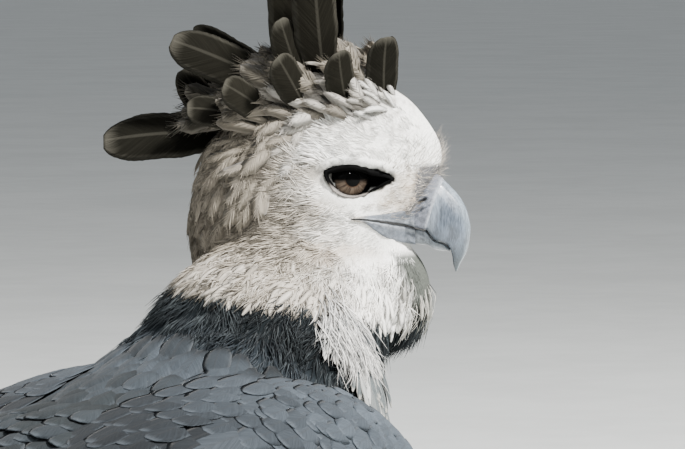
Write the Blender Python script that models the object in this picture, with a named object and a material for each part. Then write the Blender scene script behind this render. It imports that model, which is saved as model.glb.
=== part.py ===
"""A life-size harpy eagle, standing and looking over its right shoulder line, as a museum shows one.

Run it with blender --background --python part.py, or from Blender's text editor.
Lengths in the tables are millimetres. The head's tables are in the head's own frame: x forward
along the bill, y to the bird's left, z up, from the point midway between the eyes. The body's
tables are in the body's frame, with the same origin and x along the body.
"""

import math

import bmesh
import bpy
import numpy as np
from mathutils import Matrix, Vector

MM = 0.001
EYE_HEIGHT = 512.0
HEAD_TURN = math.radians(-58.0)
HEAD_TILT = math.radians(0.0)
GAP = 0.35
WELD = 0.0000001
EDGE = 0.55
SEED = 7

# Centre x and z, half-width, height to the back, depth to the belly and shift to the left, from inside the
# head to the tail. The neck leans left under the turned head.
BODY = np.array([
    (-18, -14, 30, 32, 30, 14),
    (-26, -44, 46, 52, 44, 14),
    (-44, -76, 60, 66, 56, 12),
    (-76, -112, 76, 76, 72, 7),
    (-122, -152, 103, 82, 94, 0),
    (-180, -183, 114, 88, 100, 0),
    (-245, -204, 110, 90, 97, 0),
    (-310, -228, 90, 72, 80, 0),
    (-365, -251, 64, 48, 55, 0),
    (-402, -267, 46, 31, 34, 0),
    (-420, -274, 32, 20, 22, 0),
], float)

# The same for the surface that the folded wings lie on, from the bend of the wing to its tip.
WING_LINE = np.array([
    (-66, -137, 95, 72, 88, 0),
    (-122, -159, 110, 84, 97, 0),
    (-180, -183, 117, 91, 102, 0),
    (-245, -205, 115, 92, 99, 0),
    (-310, -228, 101, 82, 88, 0),
    (-365, -248, 84, 66, 68, 0),
    (-430, -272, 68, 52, 52, 0),
    (-500, -297, 55, 42, 42, 0),
    (-575, -324, 44, 33, 33, 0),
], float)

# Rings of the head: top x and z, bottom x and z, half-width, share of the height where it is widest.
HEAD = np.array([
    (-91, -24, -92, -32, 7, 0.50),
    (-87, 1, -90, -48, 28, 0.50),
    (-78, 25, -82, -60, 43, 0.45),
    (-62, 42, -64, -67, 55, 0.42),
    (-42, 53, -44, -71, 61, 0.40),
    (-20, 57.5, -24, -74, 58, 0.38),
    (2, 57, -6, -74, 49, 0.38),
    (19.5, 52.5, 6, -68, 41, 0.40),
    (30.5, 44.5, 14, -56, 34.5, 0.44),
    (39.5, 33.5, 19, -46, 28, 0.50),
    (46, 22.5, 22, -39, 22, 0.50),
    (48, 11, 24, -34.5, 16.5, 0.50),
], float)

# Rings of the upper bill: ridge x and z, cutting edge x and z, half-width.
UPPER_BILL = np.array([
    (30, 9, 24, -24.2, 16.2),
    (38, 6.5, 31, -24.9, 15.2),
    (47, 0.9, 38.6, -26.2, 13.2),
    (50.7, -2.6, 40.5, -28.4, 12.3),
    (54.8, -6.8, 42, -31.0, 11.6),
    (58.1, -11.9, 44.4, -32.5, 10.8),
    (60.3, -16.9, 47.4, -33.4, 9.8),
    (61.6, -22.4, 50.0, -34.6, 8.6),
    (61.9, -27.4, 51.5, -36.6, 7.3),
    (61.6, -32.5, 52.1, -39.4, 5.9),
    (60.7, -36.7, 52.7, -42.8, 4.5),
    (59.0, -40.9, 53.0, -46.2, 3.1),
    (56.5, -45.5, 53.4, -48.6, 1.7),
    (54.4, -49.6, 53.9, -50.0, 0.5),
], float)
CERE_RINGS = 3

# Rings of the lower bill: x, upper edge z, lower edge z, half-width.
LOWER_BILL = np.array([
    (0, -22.9, -24.2, 15.0),
    (6, -22.5, -26.5, 15.2),
    (14, -23.0, -31.0, 14.4),
    (24, -24.8, -34.2, 12.6),
    (32, -25.8, -34.6, 11.0),
    (37, -26.4, -35.6, 9.8),
    (40.2, -29.6, -36.6, 9.0),
    (42.6, -32.6, -37.8, 8.0),
    (46.6, -34.2, -38.6, 6.2),
    (50.6, -36.4, -38.9, 3.2),
], float)

EYE_CENTRE = (-3.0, 28.6, 2.6)
EYE_RADIUS = 13.2
EYE_AIM = math.radians(66)
PUPIL_DOME = 10.4
LID_RADIUS = 10.9
LID_THICKNESS = 1.5
BROW = np.array([(-19, 44.0, 5.5, 1.8), (-11, 45.0, 9.6, 3.4), (-2, 44.6, 11.2, 4.0), (8, 41.5, 10.0, 4.0),
                 (17, 36.0, 6.6, 3.8), (24, 30.5, 2.2, 3.0), (28, 27.0, -1.5, 1.8)], float)
EYE_OPENING = (12.4, 10.2, 9.0)
FLESH_FACES = 0.041
THROAT = ((-5, 0, -62), (43, 48, 40))
NOSTRIL = ((35.4, 13.6, -11.4), 5.2, 1.5, math.radians(38))
HEAD_CUT = ((-20, 0, -70), math.radians(-11))
NECK_CUT = 0.335

# Crest feathers: root x, y and z, rise in degrees (90 up, 180 back), splay, length, half-width, bow.
CREST = (
    (-68, 13, 27, 178, 13, 76, 15.5, 0.05), (-42, 12, 51, 149, 16, 70, 14.5, 0.06), (-30, 8, 48, 101, 7, 92, 15.0, -0.10),
    (-17, 13, 50, 97, 15, 84, 14.5, -0.08), (15, 8, 42, 95, 9, 41, 10.5, -0.10), (-72, 6, 18, 118, 5, 54, 10.0, 0.05),
    (-60, 27, 36, 160, 30, 38, 10.5, 0.06), (-46, 33, 38, 136, 34, 36, 10.5, 0.06), (-26, 31, 42, 112, 32, 38, 10.5, 0.0),
    (-4, 25, 44, 98, 26, 34, 10.0, -0.05), (-27, 20, 46, 108, 20, 52, 10.0, -0.06),
)
RUFF_FEATHERS = 6
RUFF_SPAN = (40, 168)
RUFF_RISE = (6, 16)
RUFF_FALL = (16, 30)
TAIL_LENGTH = 392.0
TAIL_FALL = math.radians(19.5)
TAIL_ROOT = (-392, -263)
RECTRICES = 6
RECTRIX_HALF = 27.0

HIP = (-196, 58, -226)
HOCK = (-232, 62, -366)
ANKLE = (-206, 64, -488)
THIGH = np.array([(0.0, 50, 46), (0.3, 52, 44), (0.6, 42, 36), (0.85, 29, 27), (1.0, 21, 20), (1.06, 12, 12)], float)
SHANK = np.array([(-0.02, 12.0), (0.06, 16.5), (0.16, 14.6), (0.45, 13.6), (0.75, 13.8), (0.92, 15.5), (1.02, 14.0)], float)
FOOT_TURN = math.radians(6)
SHANK_SCUTES = 9
SCUTE_RISE = 1.3
# Toes: name, direction in degrees from straight ahead (outwards is positive), length, root radius, end radius.
TOES = (("inner", -24, 64, 11.5, 9.0), ("middle", 4, 88, 11.5, 8.2), ("outer", 36, 66, 10.5, 7.6), ("hind", 176, 50, 12.5, 10.0))
# Claws: chord and root radius of each toe's claw.
CLAWS = {"inner": (52, 7.2), "middle": (41, 6.2), "outer": (35, 5.6), "hind": (66, 8.4)}
CLAW_BEND = math.radians(118)

COLOURS = {
    "head": (0.62, 0.60, 0.57), "neck": (0.30, 0.31, 0.33), "torso": (0.55, 0.55, 0.54), "wing": (0.16, 0.17, 0.19),
    "tail": (0.15, 0.15, 0.16), "thigh": (0.60, 0.58, 0.55), "skin": (0.62, 0.50, 0.22), "horn": (0.10, 0.11, 0.13),
    "cere": (0.26, 0.28, 0.31), "claw": (0.03, 0.03, 0.035), "eye": (0.24, 0.17, 0.11),
}
ROUGHNESS = {"horn": 0.35, "cere": 0.5, "claw": 0.25, "eye": 0.08}


def smooth(at, stations, values):
    """Cubic curve through the rows of values, read at the given stations."""
    at = np.clip(np.asarray(at, float), stations[0], stations[-1])
    values = np.asarray(values, float)
    slopes = np.gradient(values, stations, axis=0)
    low = np.clip(np.searchsorted(stations, at, side="right") - 1, 0, len(stations) - 2)
    span = stations[low + 1] - stations[low]
    t = (at - stations[low]) / span
    if values.ndim == 2:
        t, span = t[..., None], span[..., None]
    return (values[low] * (2 * t**3 - 3 * t**2 + 1) + slopes[low] * span * (t**3 - 2 * t**2 + t)
            + values[low + 1] * (3 * t**2 - 2 * t**3) + slopes[low + 1] * span * (t**3 - t**2))


def lengths(table):
    """Distance along a table's centre line at each of its rows."""
    return np.concatenate([[0], np.cumsum(np.hypot(*np.diff(table[:, :2], axis=0).T))])


def tube_point(table, s, phi, out=0.0):
    """Point at distance s along a table's line and angle phi from the back, moved out from the surface."""
    stations = lengths(table)
    s, phi, out = np.broadcast_arrays(np.asarray(s, float), phi, out)
    row = smooth(s, stations, table)
    step = 2.0
    along = smooth(s + step, stations, table[:, :2]) - smooth(s - step, stations, table[:, :2])
    along /= np.linalg.norm(along, axis=-1, keepdims=True)
    up = np.stack([along[..., 1], -along[..., 0]], axis=-1)
    rise = np.where(np.cos(phi) > 0, row[..., 3], row[..., 4]) + out
    x = row[..., 0] + up[..., 0] * rise * np.cos(phi)
    z = row[..., 1] + up[..., 1] * rise * np.cos(phi)
    return np.stack([x, row[..., 5] + (row[..., 2] + out) * np.sin(phi), z], axis=-1)


def to_head(points):
    """Head frame to body frame."""
    turn = Matrix.Rotation(HEAD_TURN, 3, "Z") @ Matrix.Rotation(HEAD_TILT, 3, "Y")
    return np.asarray(points, float) @ np.array(turn).T


def mesh_object(name, points, faces):
    """Mesh object from points in the body frame, in millimetres, with faces turned outwards."""
    mesh = bpy.data.meshes.new(name)
    placed = (np.asarray(points, float).reshape(-1, 3) + (0, 0, EYE_HEIGHT)) * MM
    mesh.from_pydata(placed.tolist(), [], [tuple(int(i) for i in face) for face in faces])
    form = bmesh.new()
    form.from_mesh(mesh)
    bmesh.ops.recalc_face_normals(form, faces=form.faces)
    if form.calc_volume(signed=True) < 0:
        bmesh.ops.reverse_faces(form, faces=form.faces)
    form.to_mesh(mesh)
    form.free()
    piece = bpy.data.objects.new(name, mesh)
    bpy.context.scene.collection.objects.link(piece)
    return piece


def loft(name, rings):
    """Closed body through rings of equally many points, with a fan of triangles at each end."""
    rings = np.asarray(rings, float)
    count, around = rings.shape[:2]
    points = np.concatenate([rings.reshape(-1, 3), [rings[0].mean(0), rings[-1].mean(0)]])
    faces = []
    for i in range(count - 1):
        for j in range(around):
            k = (j + 1) % around
            a, b, c, d = i * around + j, i * around + k, (i + 1) * around + k, (i + 1) * around + j
            faces += [(a, b, c), (a, c, d)]
    first, last = count * around, count * around + 1
    for j in range(around):
        k = (j + 1) % around
        faces += [(first, k, j), (last, (count - 1) * around + j, (count - 1) * around + k)]
    return mesh_object(name, points, faces)


def stretched(rings, grow):
    """The rings with one more at each end, moved outwards by grow."""
    rings = np.asarray(rings, float)
    if grow <= 0:
        return rings
    middle = rings.mean(1)
    back, ahead = middle[0] - middle[1], middle[-1] - middle[-2]
    return np.concatenate([[rings[0] + back / np.linalg.norm(back) * grow], rings,
                           [rings[-1] + ahead / np.linalg.norm(ahead) * grow]])


def plate(name, middle, thickness):
    """Thin closed plate around a grid of points, its two faces split alike."""
    middle = np.asarray(middle, float)
    rows, columns = middle.shape[:2]
    along = np.gradient(middle, axis=0)
    across = np.gradient(middle, axis=1)
    normal = np.cross(along, across)
    normal /= np.linalg.norm(normal, axis=-1, keepdims=True)
    half = np.asarray(thickness, float)[..., None] / 2
    points = np.concatenate([(middle + normal * half).reshape(-1, 3), (middle - normal * half).reshape(-1, 3)])
    under = rows * columns
    faces = []
    for i in range(rows - 1):
        for j in range(columns - 1):
            a, b, c, d = i * columns + j, i * columns + j + 1, (i + 1) * columns + j + 1, (i + 1) * columns + j
            if 2 * j >= columns - 1:
                pairs = [(a, b, c), (a, c, d)]
            else:
                pairs = [(a, b, d), (b, c, d)]
            for p, q, r in pairs:
                faces += [(p, q, r), (r + under, q + under, p + under)]
    rim = ([j for j in range(columns)] + [i * columns + columns - 1 for i in range(1, rows)]
           + [(rows - 1) * columns + j for j in range(columns - 2, -1, -1)] + [i * columns for i in range(rows - 2, 0, -1)])
    for p, q in zip(rim, rim[1:] + rim[:1]):
        faces += [(p, p + under, q + under), (p, q + under, q)]
    return mesh_object(name, points, faces)


def ball(name, centre, radii, around=20, rings=12):
    """Ellipsoid."""
    angle = np.linspace(0.04 * math.pi, 0.96 * math.pi, rings)
    turn = np.arange(around) * 2 * math.pi / around
    unit = np.stack([np.outer(np.sin(angle), np.cos(turn)), np.outer(np.sin(angle), np.sin(turn)),
                     np.outer(np.cos(angle), np.ones(around))], axis=-1)
    return loft(name, np.asarray(centre) + unit * np.asarray(radii))


def tube(name, path, radii, around=8, flat=None, grow=0.0):
    """Round body along a path, its rings square to it. flat squeezes the rings' second direction."""
    path = np.asarray(path, float)
    along = np.gradient(path, axis=0)
    along /= np.linalg.norm(along, axis=1, keepdims=True)
    across = np.cross(along, (0.0, 0.0, 1.0))
    weak = np.linalg.norm(across, axis=1) < 0.2
    across[weak] = np.cross(along[weak], (0.0, 1.0, 0.0))
    across /= np.linalg.norm(across, axis=1, keepdims=True)
    for i in range(1, len(across)):
        if across[i] @ across[i - 1] < 0:
            across[i] *= -1
    up = np.cross(across, along)
    turn = (np.arange(around) + 0.5) * 2 * math.pi / around
    tall = np.asarray(radii) if flat is None else np.asarray(flat)
    rings = (path[:, None] + across[:, None] * (np.asarray(radii)[:, None] * np.cos(turn))[..., None]
             + up[:, None] * (np.broadcast_to(tall, len(path))[:, None] * np.sin(turn))[..., None])
    return loft(name, stretched(rings, grow))


def settle(piece, made):
    """Gives the piece the mesh, less all but its largest closed surface, and says whether it is closed."""
    piece.modifiers.clear()
    form = bmesh.new()
    form.from_mesh(made)
    bmesh.ops.triangulate(form, faces=form.faces, ngon_method="EAR_CLIP")
    seen, islands = set(), []
    for start in form.verts:
        if start in seen:
            continue
        island, front = {start}, [start]
        while front:
            for edge in front.pop().link_edges:
                for vert in edge.verts:
                    if vert not in island:
                        island.add(vert)
                        front.append(vert)
        seen |= island
        islands.append(island)
    largest = max(islands, key=len)
    bmesh.ops.delete(form, geom=[v for v in form.verts if v not in largest], context="VERTS")
    closed = all(edge.is_contiguous for edge in form.edges)
    form.to_mesh(made)
    form.free()
    piece.data = made
    return closed


def combine(piece, others, operation):
    """One Boolean of the piece with a collection of closed pieces, which are then removed."""
    group = bpy.data.collections.new("operands")
    bpy.context.scene.collection.children.link(group)
    for other in others:
        bpy.context.scene.collection.objects.unlink(other)
        group.objects.link(other)
    for solver in ("MANIFOLD", "EXACT"):
        step = piece.modifiers.new("combine", "BOOLEAN")
        step.operation = operation
        step.operand_type = "COLLECTION"
        step.collection = group
        step.solver = solver
        bpy.context.view_layer.update()
        made = bpy.data.meshes.new_from_object(piece.evaluated_get(bpy.context.evaluated_depsgraph_get()))
        before = piece.data
        if settle(piece, made):
            break
        print(piece.name, operation, "is not closed with", solver)
        if solver == "MANIFOLD":
            piece.data = before
    for other in others:
        bpy.data.objects.remove(other)
    bpy.data.collections.remove(group)
    return piece


def part_at(piece, point, normal):
    """Cuts away what lies on the normal's side of a plane and closes the cut."""
    form = bmesh.new()
    form.from_mesh(piece.data)
    co = (Vector(point) + Vector((0, 0, EYE_HEIGHT))) * MM
    bmesh.ops.bisect_plane(form, geom=form.verts[:] + form.edges[:] + form.faces[:], dist=WELD,
                           plane_co=co, plane_no=Vector(normal), clear_outer=True)
    rim = [edge for edge in form.edges if edge.is_boundary]
    bmesh.ops.triangle_fill(form, edges=rim, use_beauty=True)
    bmesh.ops.recalc_face_normals(form, faces=form.faces)
    form.to_mesh(piece.data)
    form.free()
    return piece


def copy_of(piece, name):
    twin = bpy.data.objects.new(name, piece.data.copy())
    bpy.context.scene.collection.objects.link(twin)
    return twin


def mirrored(piece, name):
    """The same piece on the bird's other side."""
    twin = copy_of(piece, name)
    twin.data.transform(Matrix.Scale(-1, 4, (0, 1, 0)))
    twin.data.flip_normals()
    return twin


def paint(piece, kind):
    material = bpy.data.materials.get(kind) or bpy.data.materials.new(kind)
    material.use_nodes = True
    shader = material.node_tree.nodes["Principled BSDF"]
    shader.inputs["Base Color"].default_value = (*COLOURS[kind], 1)
    shader.inputs["Roughness"].default_value = ROUGHNESS.get(kind, 0.85)
    shader.inputs["Metallic"].default_value = 0.0
    piece.data.materials.clear()
    piece.data.materials.append(material)
    piece.data.shade_smooth()
    piece.data.set_sharp_from_angle(angle=math.radians(40))


def body_tube(name, out=0.0, rings=20, around=20, start=0.0, end=1.0):
    """The plumage of neck and trunk, or the same grown outwards."""
    total = lengths(BODY)[-1]
    s = np.linspace(start, end, rings) * total
    phi = (np.arange(around) + 0.5) * 2 * math.pi / around
    return loft(name, stretched(tube_point(BODY, s[:, None], phi[None, :], out), out))


def head_point(r, phi):
    """Point of the head's surface at ring r and angle phi from the crown, with brow and eye hollow."""
    row = smooth(r, np.arange(len(HEAD), dtype=float), HEAD)
    row, phi = np.broadcast_arrays(row[:, None, :], np.asarray(phi, float)[None, :, None])
    phi = phi[..., 0]
    share = ((1 + np.cos(phi)) / 2) ** (np.log(row[..., 5]) / math.log(0.5))
    x = row[..., 2] + (row[..., 0] - row[..., 2]) * share
    z = row[..., 3] + (row[..., 1] - row[..., 3]) * share
    y = row[..., 4] * np.sin(phi)
    hollow = 5.5 * np.exp(-((x - 3) ** 2 / 220 + (z + 3) ** 2 / 130))
    return np.stack([x, y - np.sign(y) * hollow, z], axis=-1)


def skull():
    rings = np.concatenate([np.linspace(0, 5, 8), np.linspace(5.6, len(HEAD) - 1, 10)])
    phi = (np.arange(22) + 0.5) * 2 * math.pi / 22
    return loft("skull", to_head(head_point(rings, phi)))


def eye_axis(side):
    return np.array((math.cos(EYE_AIM), side * math.sin(EYE_AIM), 0.0))


def eyeball(name, side, grow=0.0):
    """Eyeball, whose clear dome looks sideways and forwards."""
    centre = np.array(EYE_CENTRE) * (1, side, 1)
    axis = eye_axis(side)
    across = np.cross(axis, (0, 0, 1.0))
    up = np.cross(across, axis)
    dip = np.array((0.05, 0.14, 0.22, 0.30, 0.38, 0.50, 0.66, 0.82, 0.94)) * math.pi
    turn = np.arange(16) * 2 * math.pi / 16
    radius = EYE_RADIUS + grow
    reach = radius * np.cos(dip) + 1.3 * np.clip(1 - (radius * np.sin(dip) / 9.6) ** 2, 0, 1) * (np.cos(dip) > 0)
    rings = (centre + axis * reach[:, None, None]
             + radius * np.sin(dip)[:, None, None] * (np.cos(turn)[:, None] * across + np.sin(turn)[:, None] * up))
    return loft(name, to_head(rings))


def eye_opening(side):
    """Almond hollow in front of the eyeball, which the lids frame."""
    centre = np.array(EYE_CENTRE) * (1, side, 1) + eye_axis(side) * 13.5
    axis = eye_axis(side)
    across = np.cross(axis, (0, 0, 1.0))
    up = np.cross(across, axis)
    dip = np.array((0.06, 0.2, 0.35, 0.5, 0.65, 0.8, 0.94)) * math.pi
    turn = np.arange(18) * 2 * math.pi / 18
    wide, tall, deep = EYE_OPENING
    ring = np.cos(turn)[:, None] * across * wide + np.sin(turn)[:, None] * up * tall
    return loft("opening", to_head(centre + axis * (deep * np.cos(dip))[:, None, None]
                                   + np.sin(dip)[:, None, None] * ring))


def lids(side):
    """Rim of the eyelids, one ring round the eye's opening."""
    centre = np.array(EYE_CENTRE) * (1, side, 1) + eye_axis(side) * 8.0
    axis = eye_axis(side)
    across = np.cross(axis, (0, 0, 1.0))
    up = np.cross(across, axis)
    turn = np.arange(18) * 2 * math.pi / 18
    small = (np.arange(5) + 0.5) * 2 * math.pi / 5
    spoke = np.cos(turn)[:, None] * across * 1.12 + np.sin(turn)[:, None] * up
    rings = (centre + spoke[:, None] * (LID_RADIUS + LID_THICKNESS * np.cos(small))[None, :, None]
             + axis * (LID_THICKNESS * np.sin(small))[None, :, None])
    points = to_head(rings).reshape(-1, 3)
    faces = []
    for i in range(18):
        for j in range(5):
            a, b = i * 5 + j, i * 5 + (j + 1) % 5
            c, d = ((i + 1) % 18) * 5 + (j + 1) % 5, ((i + 1) % 18) * 5 + j
            faces += [(a, b, c), (a, c, d)]
    return mesh_object("lids", points, faces)


def brow(side):
    """Bony shelf that overhangs the eye."""
    row = smooth(np.linspace(0, len(BROW) - 1, 11), np.arange(len(BROW), dtype=float), BROW)
    return tube("brow", to_head(row[:, :3] * (1, side, 1)), row[:, 3], 8)


def feather_outline(stations, blunt=0.55):
    """Half-width of a feather as a share of its widest, from root to rounded tip."""
    t = np.asarray(stations)
    body = 0.42 + 0.58 * np.clip(t / 0.42, 0, 1) ** 0.8
    tip = np.where(t > 0.72, np.sqrt(np.clip(1 - ((t - 0.72) / 0.28) ** 2 * (1 - blunt**2), 0, 1)), 1.0)
    return body * tip


def free_feather(name, root, direction, face, bend, length, half, stations):
    """Feather on its root in the head, its broad side towards face and its tip bowed by bend."""
    t = np.array(stations)
    direction = np.asarray(direction, float) / np.linalg.norm(direction)
    side = np.cross(direction, face)
    side /= np.linalg.norm(side)
    face = np.cross(side, direction)
    line = np.asarray(root) + direction * (t * length)[:, None] + np.asarray(bend) * (length * t**2)[:, None]
    half_now = half * feather_outline(t)
    j = np.array((-1.0, 0.0, 1.0))
    droop = -0.14 * half_now[:, None] * np.abs(j)
    grid = line[:, None] + side * (half_now[:, None] * j)[..., None] + face * droop[..., None]
    thick = np.broadcast_to(np.array((EDGE + 0.05, 1.1, EDGE + 0.05)), grid.shape[:2])
    return plate(name, grid, thick)


def crest(chance):
    """Both sides of the raised crest, feather by feather, rooted in the crown."""
    pieces = []
    for side in (1, -1):
        for x, y, z, rise, splay, length, half, bow in CREST:
            angle = math.radians(rise + chance.uniform(-1.5, 1.5))
            lean_out = math.radians(splay + chance.uniform(-1.5, 1.5))
            direction = np.array((math.cos(angle) * math.cos(lean_out), side * math.sin(lean_out),
                                  math.sin(angle) * math.cos(lean_out)))
            ahead = np.array((math.sin(angle), 0, -math.cos(angle)))
            face = 0.62 * ahead + np.array((0, side * 0.78, 0))
            pieces.append(free_feather("crest", to_head((x, side * y, z)), to_head(direction), to_head(face),
                                       to_head(-ahead * bow), length, half,
                                       (0, 0.4, 0.8, 1.0) if length > 50 else (0, 0.6, 1.0)))
    return pieces


def ruff(head, neck):
    """Fringe of flat tapered feathers round the lower edge of the facial disc, over the top of the neck."""
    skin = np.array([tuple(vert.co) for piece in (head, neck) for vert in piece.data.vertices]) / MM - (0, 0, EYE_HEIGHT)
    at, normal = head_plane()
    above = (skin - at) @ normal
    middle = skin[np.abs(above) < RUFF_RISE[1]].mean(0)
    ahead = to_head((1.0, 0, 0))
    left = to_head((0, 1.0, 0))
    pieces = []
    for side in (1, -1):
        for degrees in np.linspace(*RUFF_SPAN, RUFF_FEATHERS):
            out = ahead * math.cos(math.radians(degrees)) + left * side * math.sin(math.radians(degrees))
            along = (skin - middle) @ out - 3 * np.abs((skin - middle) @ np.cross(normal, out))
            high = (above > RUFF_RISE[0]) & (above < RUFF_RISE[1])
            low = (above < -RUFF_FALL[0]) & (above > -RUFF_FALL[1])
            root = skin[high][np.argmax(along[high])] - out * 1.5
            reach = max(along[low].max() - along[high].max(), -12) + 17
            down = -normal * (RUFF_RISE[1] + RUFF_FALL[1]) / 2 + out * reach
            pieces.append(free_feather("ruff", root, down, out, -out * 0.10, 34, 10.5, (0, 0.5, 1.0)))
    return pieces


def head_plane():
    (x, y, z), tilt = HEAD_CUT
    point = to_head(np.array((x, y, z), float))
    normal = to_head(np.array((math.sin(-tilt), 0, math.cos(tilt))))
    return point, normal


def neck_plane():
    total = lengths(BODY)[-1]
    phi = np.array((0.0, math.pi))
    here = tube_point(BODY, NECK_CUT * total, phi).mean(0)
    back = tube_point(BODY, NECK_CUT * total + 4, phi).mean(0)
    ahead = tube_point(BODY, NECK_CUT * total - 4, phi).mean(0)
    normal = ahead - back
    return here, normal / np.linalg.norm(normal)


def melt(piece):
    """Rounds the creases where the piece's shapes meet, and thins its faces."""
    remesh = piece.modifiers.new("melt", "REMESH")
    remesh.mode = "VOXEL"
    remesh.voxel_size = 5.0 * MM
    soften = piece.modifiers.new("soften", "SMOOTH")
    soften.factor = 0.5
    soften.iterations = 14
    thin = piece.modifiers.new("thin", "DECIMATE")
    thin.ratio = FLESH_FACES
    bpy.context.view_layer.update()
    settle(piece, bpy.data.meshes.new_from_object(piece.evaluated_get(bpy.context.evaluated_depsgraph_get())))
    return piece


def grown(piece, by):
    """Copy of a smooth piece, moved out along its normals."""
    wide = copy_of(piece, "clearance")
    normals = [vert.normal.copy() for vert in wide.data.vertices]
    for vert, normal in zip(wide.data.vertices, normals):
        vert.co += normal * (by * MM)
    return wide


def flesh():
    """Head and neck, modelled with the trunk and then parted with two thin cuts, and the trunk itself."""
    trunk = body_tube("trunk")
    whole = skull()
    combine(whole, [copy_of(trunk, "joined"), ball("throat", to_head(THROAT[0]), THROAT[1])], "UNION")
    melt(whole)
    head_at, head_normal = head_plane()
    neck_at, neck_normal = neck_plane()
    half_gap = GAP / 2
    head = part_at(copy_of(whole, "head"), head_at + head_normal * half_gap, -head_normal)
    neck = part_at(copy_of(whole, "neck"), head_at - head_normal * half_gap, head_normal)
    part_at(neck, neck_at + neck_normal * half_gap, -neck_normal)
    torso = part_at(trunk, neck_at - neck_normal * half_gap, neck_normal)
    torso.name = "torso"
    bpy.data.objects.remove(whole)
    return head, neck, torso


def mouth_line(side):
    """Groove from the corner of the mouth to the bill."""
    rings = np.linspace(6.1, 9.4, 7)
    slope = np.linspace(-22.3, -24.6, 7)
    phi = side * np.linspace(1.2, 2.6, 120)
    skin = head_point(rings, phi)
    nearest = np.argmin(np.abs(skin[..., 2] - slope[:, None]), axis=1)
    path = skin[np.arange(7), nearest]
    return tube("groove", to_head(path), np.full(7, 3.4), 6, np.full(7, 0.8))


def bill_section(upper):
    """Shares of height and half-width round one ring of the bill."""
    if upper:
        side = [(1.0, 0.0), (0.93, 0.42), (0.72, 0.78), (0.38, 0.98), (0.0, 0.96), (0.03, 0.5), (0.06, 0.0)]
    else:
        side = [(1.0, 0.0), (1.0, 0.55), (0.98, 1.0), (0.5, 0.97), (0.16, 0.72), (0.0, 0.30), (0.0, 0.0)]
    return side + [(h, -w) for h, w in side[-2:0:-1]]


def upper_rings(grow=0.0):
    section = np.array(bill_section(True))
    ridge, edge = UPPER_BILL[:, 0:2], UPPER_BILL[:, 2:4]
    span = ridge - edge
    unit = span / np.linalg.norm(span, axis=1, keepdims=True)
    ridge, edge = ridge + unit * grow, edge - unit * grow
    spot = edge[:, None] + (ridge - edge)[:, None] * section[None, :, 0:1]
    y = (UPPER_BILL[:, 4] + grow)[:, None] * section[None, :, 1]
    return to_head(np.stack([spot[..., 0], y, spot[..., 1]], axis=-1))


def lower_rings(grow=0.0):
    section = np.array(bill_section(False))
    x = np.broadcast_to(LOWER_BILL[:, 0:1], (len(LOWER_BILL), len(section))).copy()
    x[0] -= grow
    x[-1] += grow
    low, high = LOWER_BILL[:, 2:3] - grow, LOWER_BILL[:, 1:2] + grow
    z = low + (high - low) * section[None, :, 0]
    y = (LOWER_BILL[:, 3] + grow)[:, None] * section[None, :, 1]
    return to_head(np.stack([x, y, z], axis=-1))


def nostril(side):
    (x, y, z), length, width, slope = NOSTRIL
    slit = ball("nostril", (0, 0, 0), (length / 2, 3.2, width / 2), 10, 7)
    spot = Vector(to_head(np.array((x, side * y, z)))) + Vector((0, 0, EYE_HEIGHT))
    turn = Matrix.Rotation(HEAD_TURN, 4, "Z") @ Matrix.Rotation(-slope, 4, "Y")
    slit.data.transform(Matrix.Translation((0, 0, -EYE_HEIGHT * MM)))
    slit.data.transform(Matrix.Translation(spot * MM) @ turn)
    return slit


def bill():
    """Cere, hooked upper bill and lower bill."""
    rings = upper_rings()
    cut = rings[CERE_RINGS - 1]
    ahead = rings[CERE_RINGS] - cut
    ahead /= np.linalg.norm(ahead, axis=1, keepdims=True)
    cere = loft("cere", rings[:CERE_RINGS])
    hook = loft("bill_upper", np.concatenate([[cut + ahead * GAP], rings[CERE_RINGS:]]))
    combine(cere, [nostril(1), nostril(-1)], "DIFFERENCE")
    jaw = loft("bill_lower", lower_rings())
    combine(jaw, [loft("clearance", upper_rings(GAP))], "DIFFERENCE")
    return cere, hook, jaw


def wing_core():
    """Arm and hand under the coverts, a thick blade that thins towards the tail."""
    s = np.array((12, 22, 42, 72, 110, 150, 190, 230, 266), float)
    thick = np.array((3, 10, 14, 15.5, 16, 13.5, 9.5, 5.4, 2.4))
    top = np.radians((78, 60, 44, 34, 28, 25, 23, 24, 28))
    low = np.radians((108, 118, 122, 121, 119, 116, 112, 107, 100))
    outer = np.linspace(0, 1, 8)
    phi = top[:, None] + (low - top)[:, None] * outer
    swell = thick[:, None] * np.clip(4 * outer * (1 - outer), 0, 1) ** 0.35
    out = tube_point(WING_LINE, s[:, None], phi, swell)
    inner = tube_point(WING_LINE, s[:, None], phi, -9.0)
    return loft("core", np.concatenate([out, inner[:, ::-1]], axis=1))


def wing_feather(s, phi, out, half, tilt, stations):
    """Vane that lies on the wing's surface from root to tip, its lower edge over the next vane."""
    t = np.array(stations)
    at = s[0] + (s[1] - s[0]) * t
    turn = phi[0] + (phi[1] - phi[0]) * t
    rise = out[0] + (out[1] - out[0]) * np.clip(t / 0.5, 0, 1)
    step = 0.01
    per_radian = np.linalg.norm(tube_point(WING_LINE, at, turn + step) - tube_point(WING_LINE, at, turn - step), axis=-1)
    per_radian /= 2 * step
    half_now = half * feather_outline(t, 0.5)
    j = np.array((-1.0, 0.0, 1.0))
    swing = turn[:, None] + (half_now / per_radian)[:, None] * j
    lift = rise[:, None] + tilt * half_now[:, None] * j
    grid = tube_point(WING_LINE, at[:, None], swing, lift)
    thick = np.broadcast_to(np.array((EDGE, 0.75, EDGE)), grid.shape[:2])
    return plate("vane", grid, thick)


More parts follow.
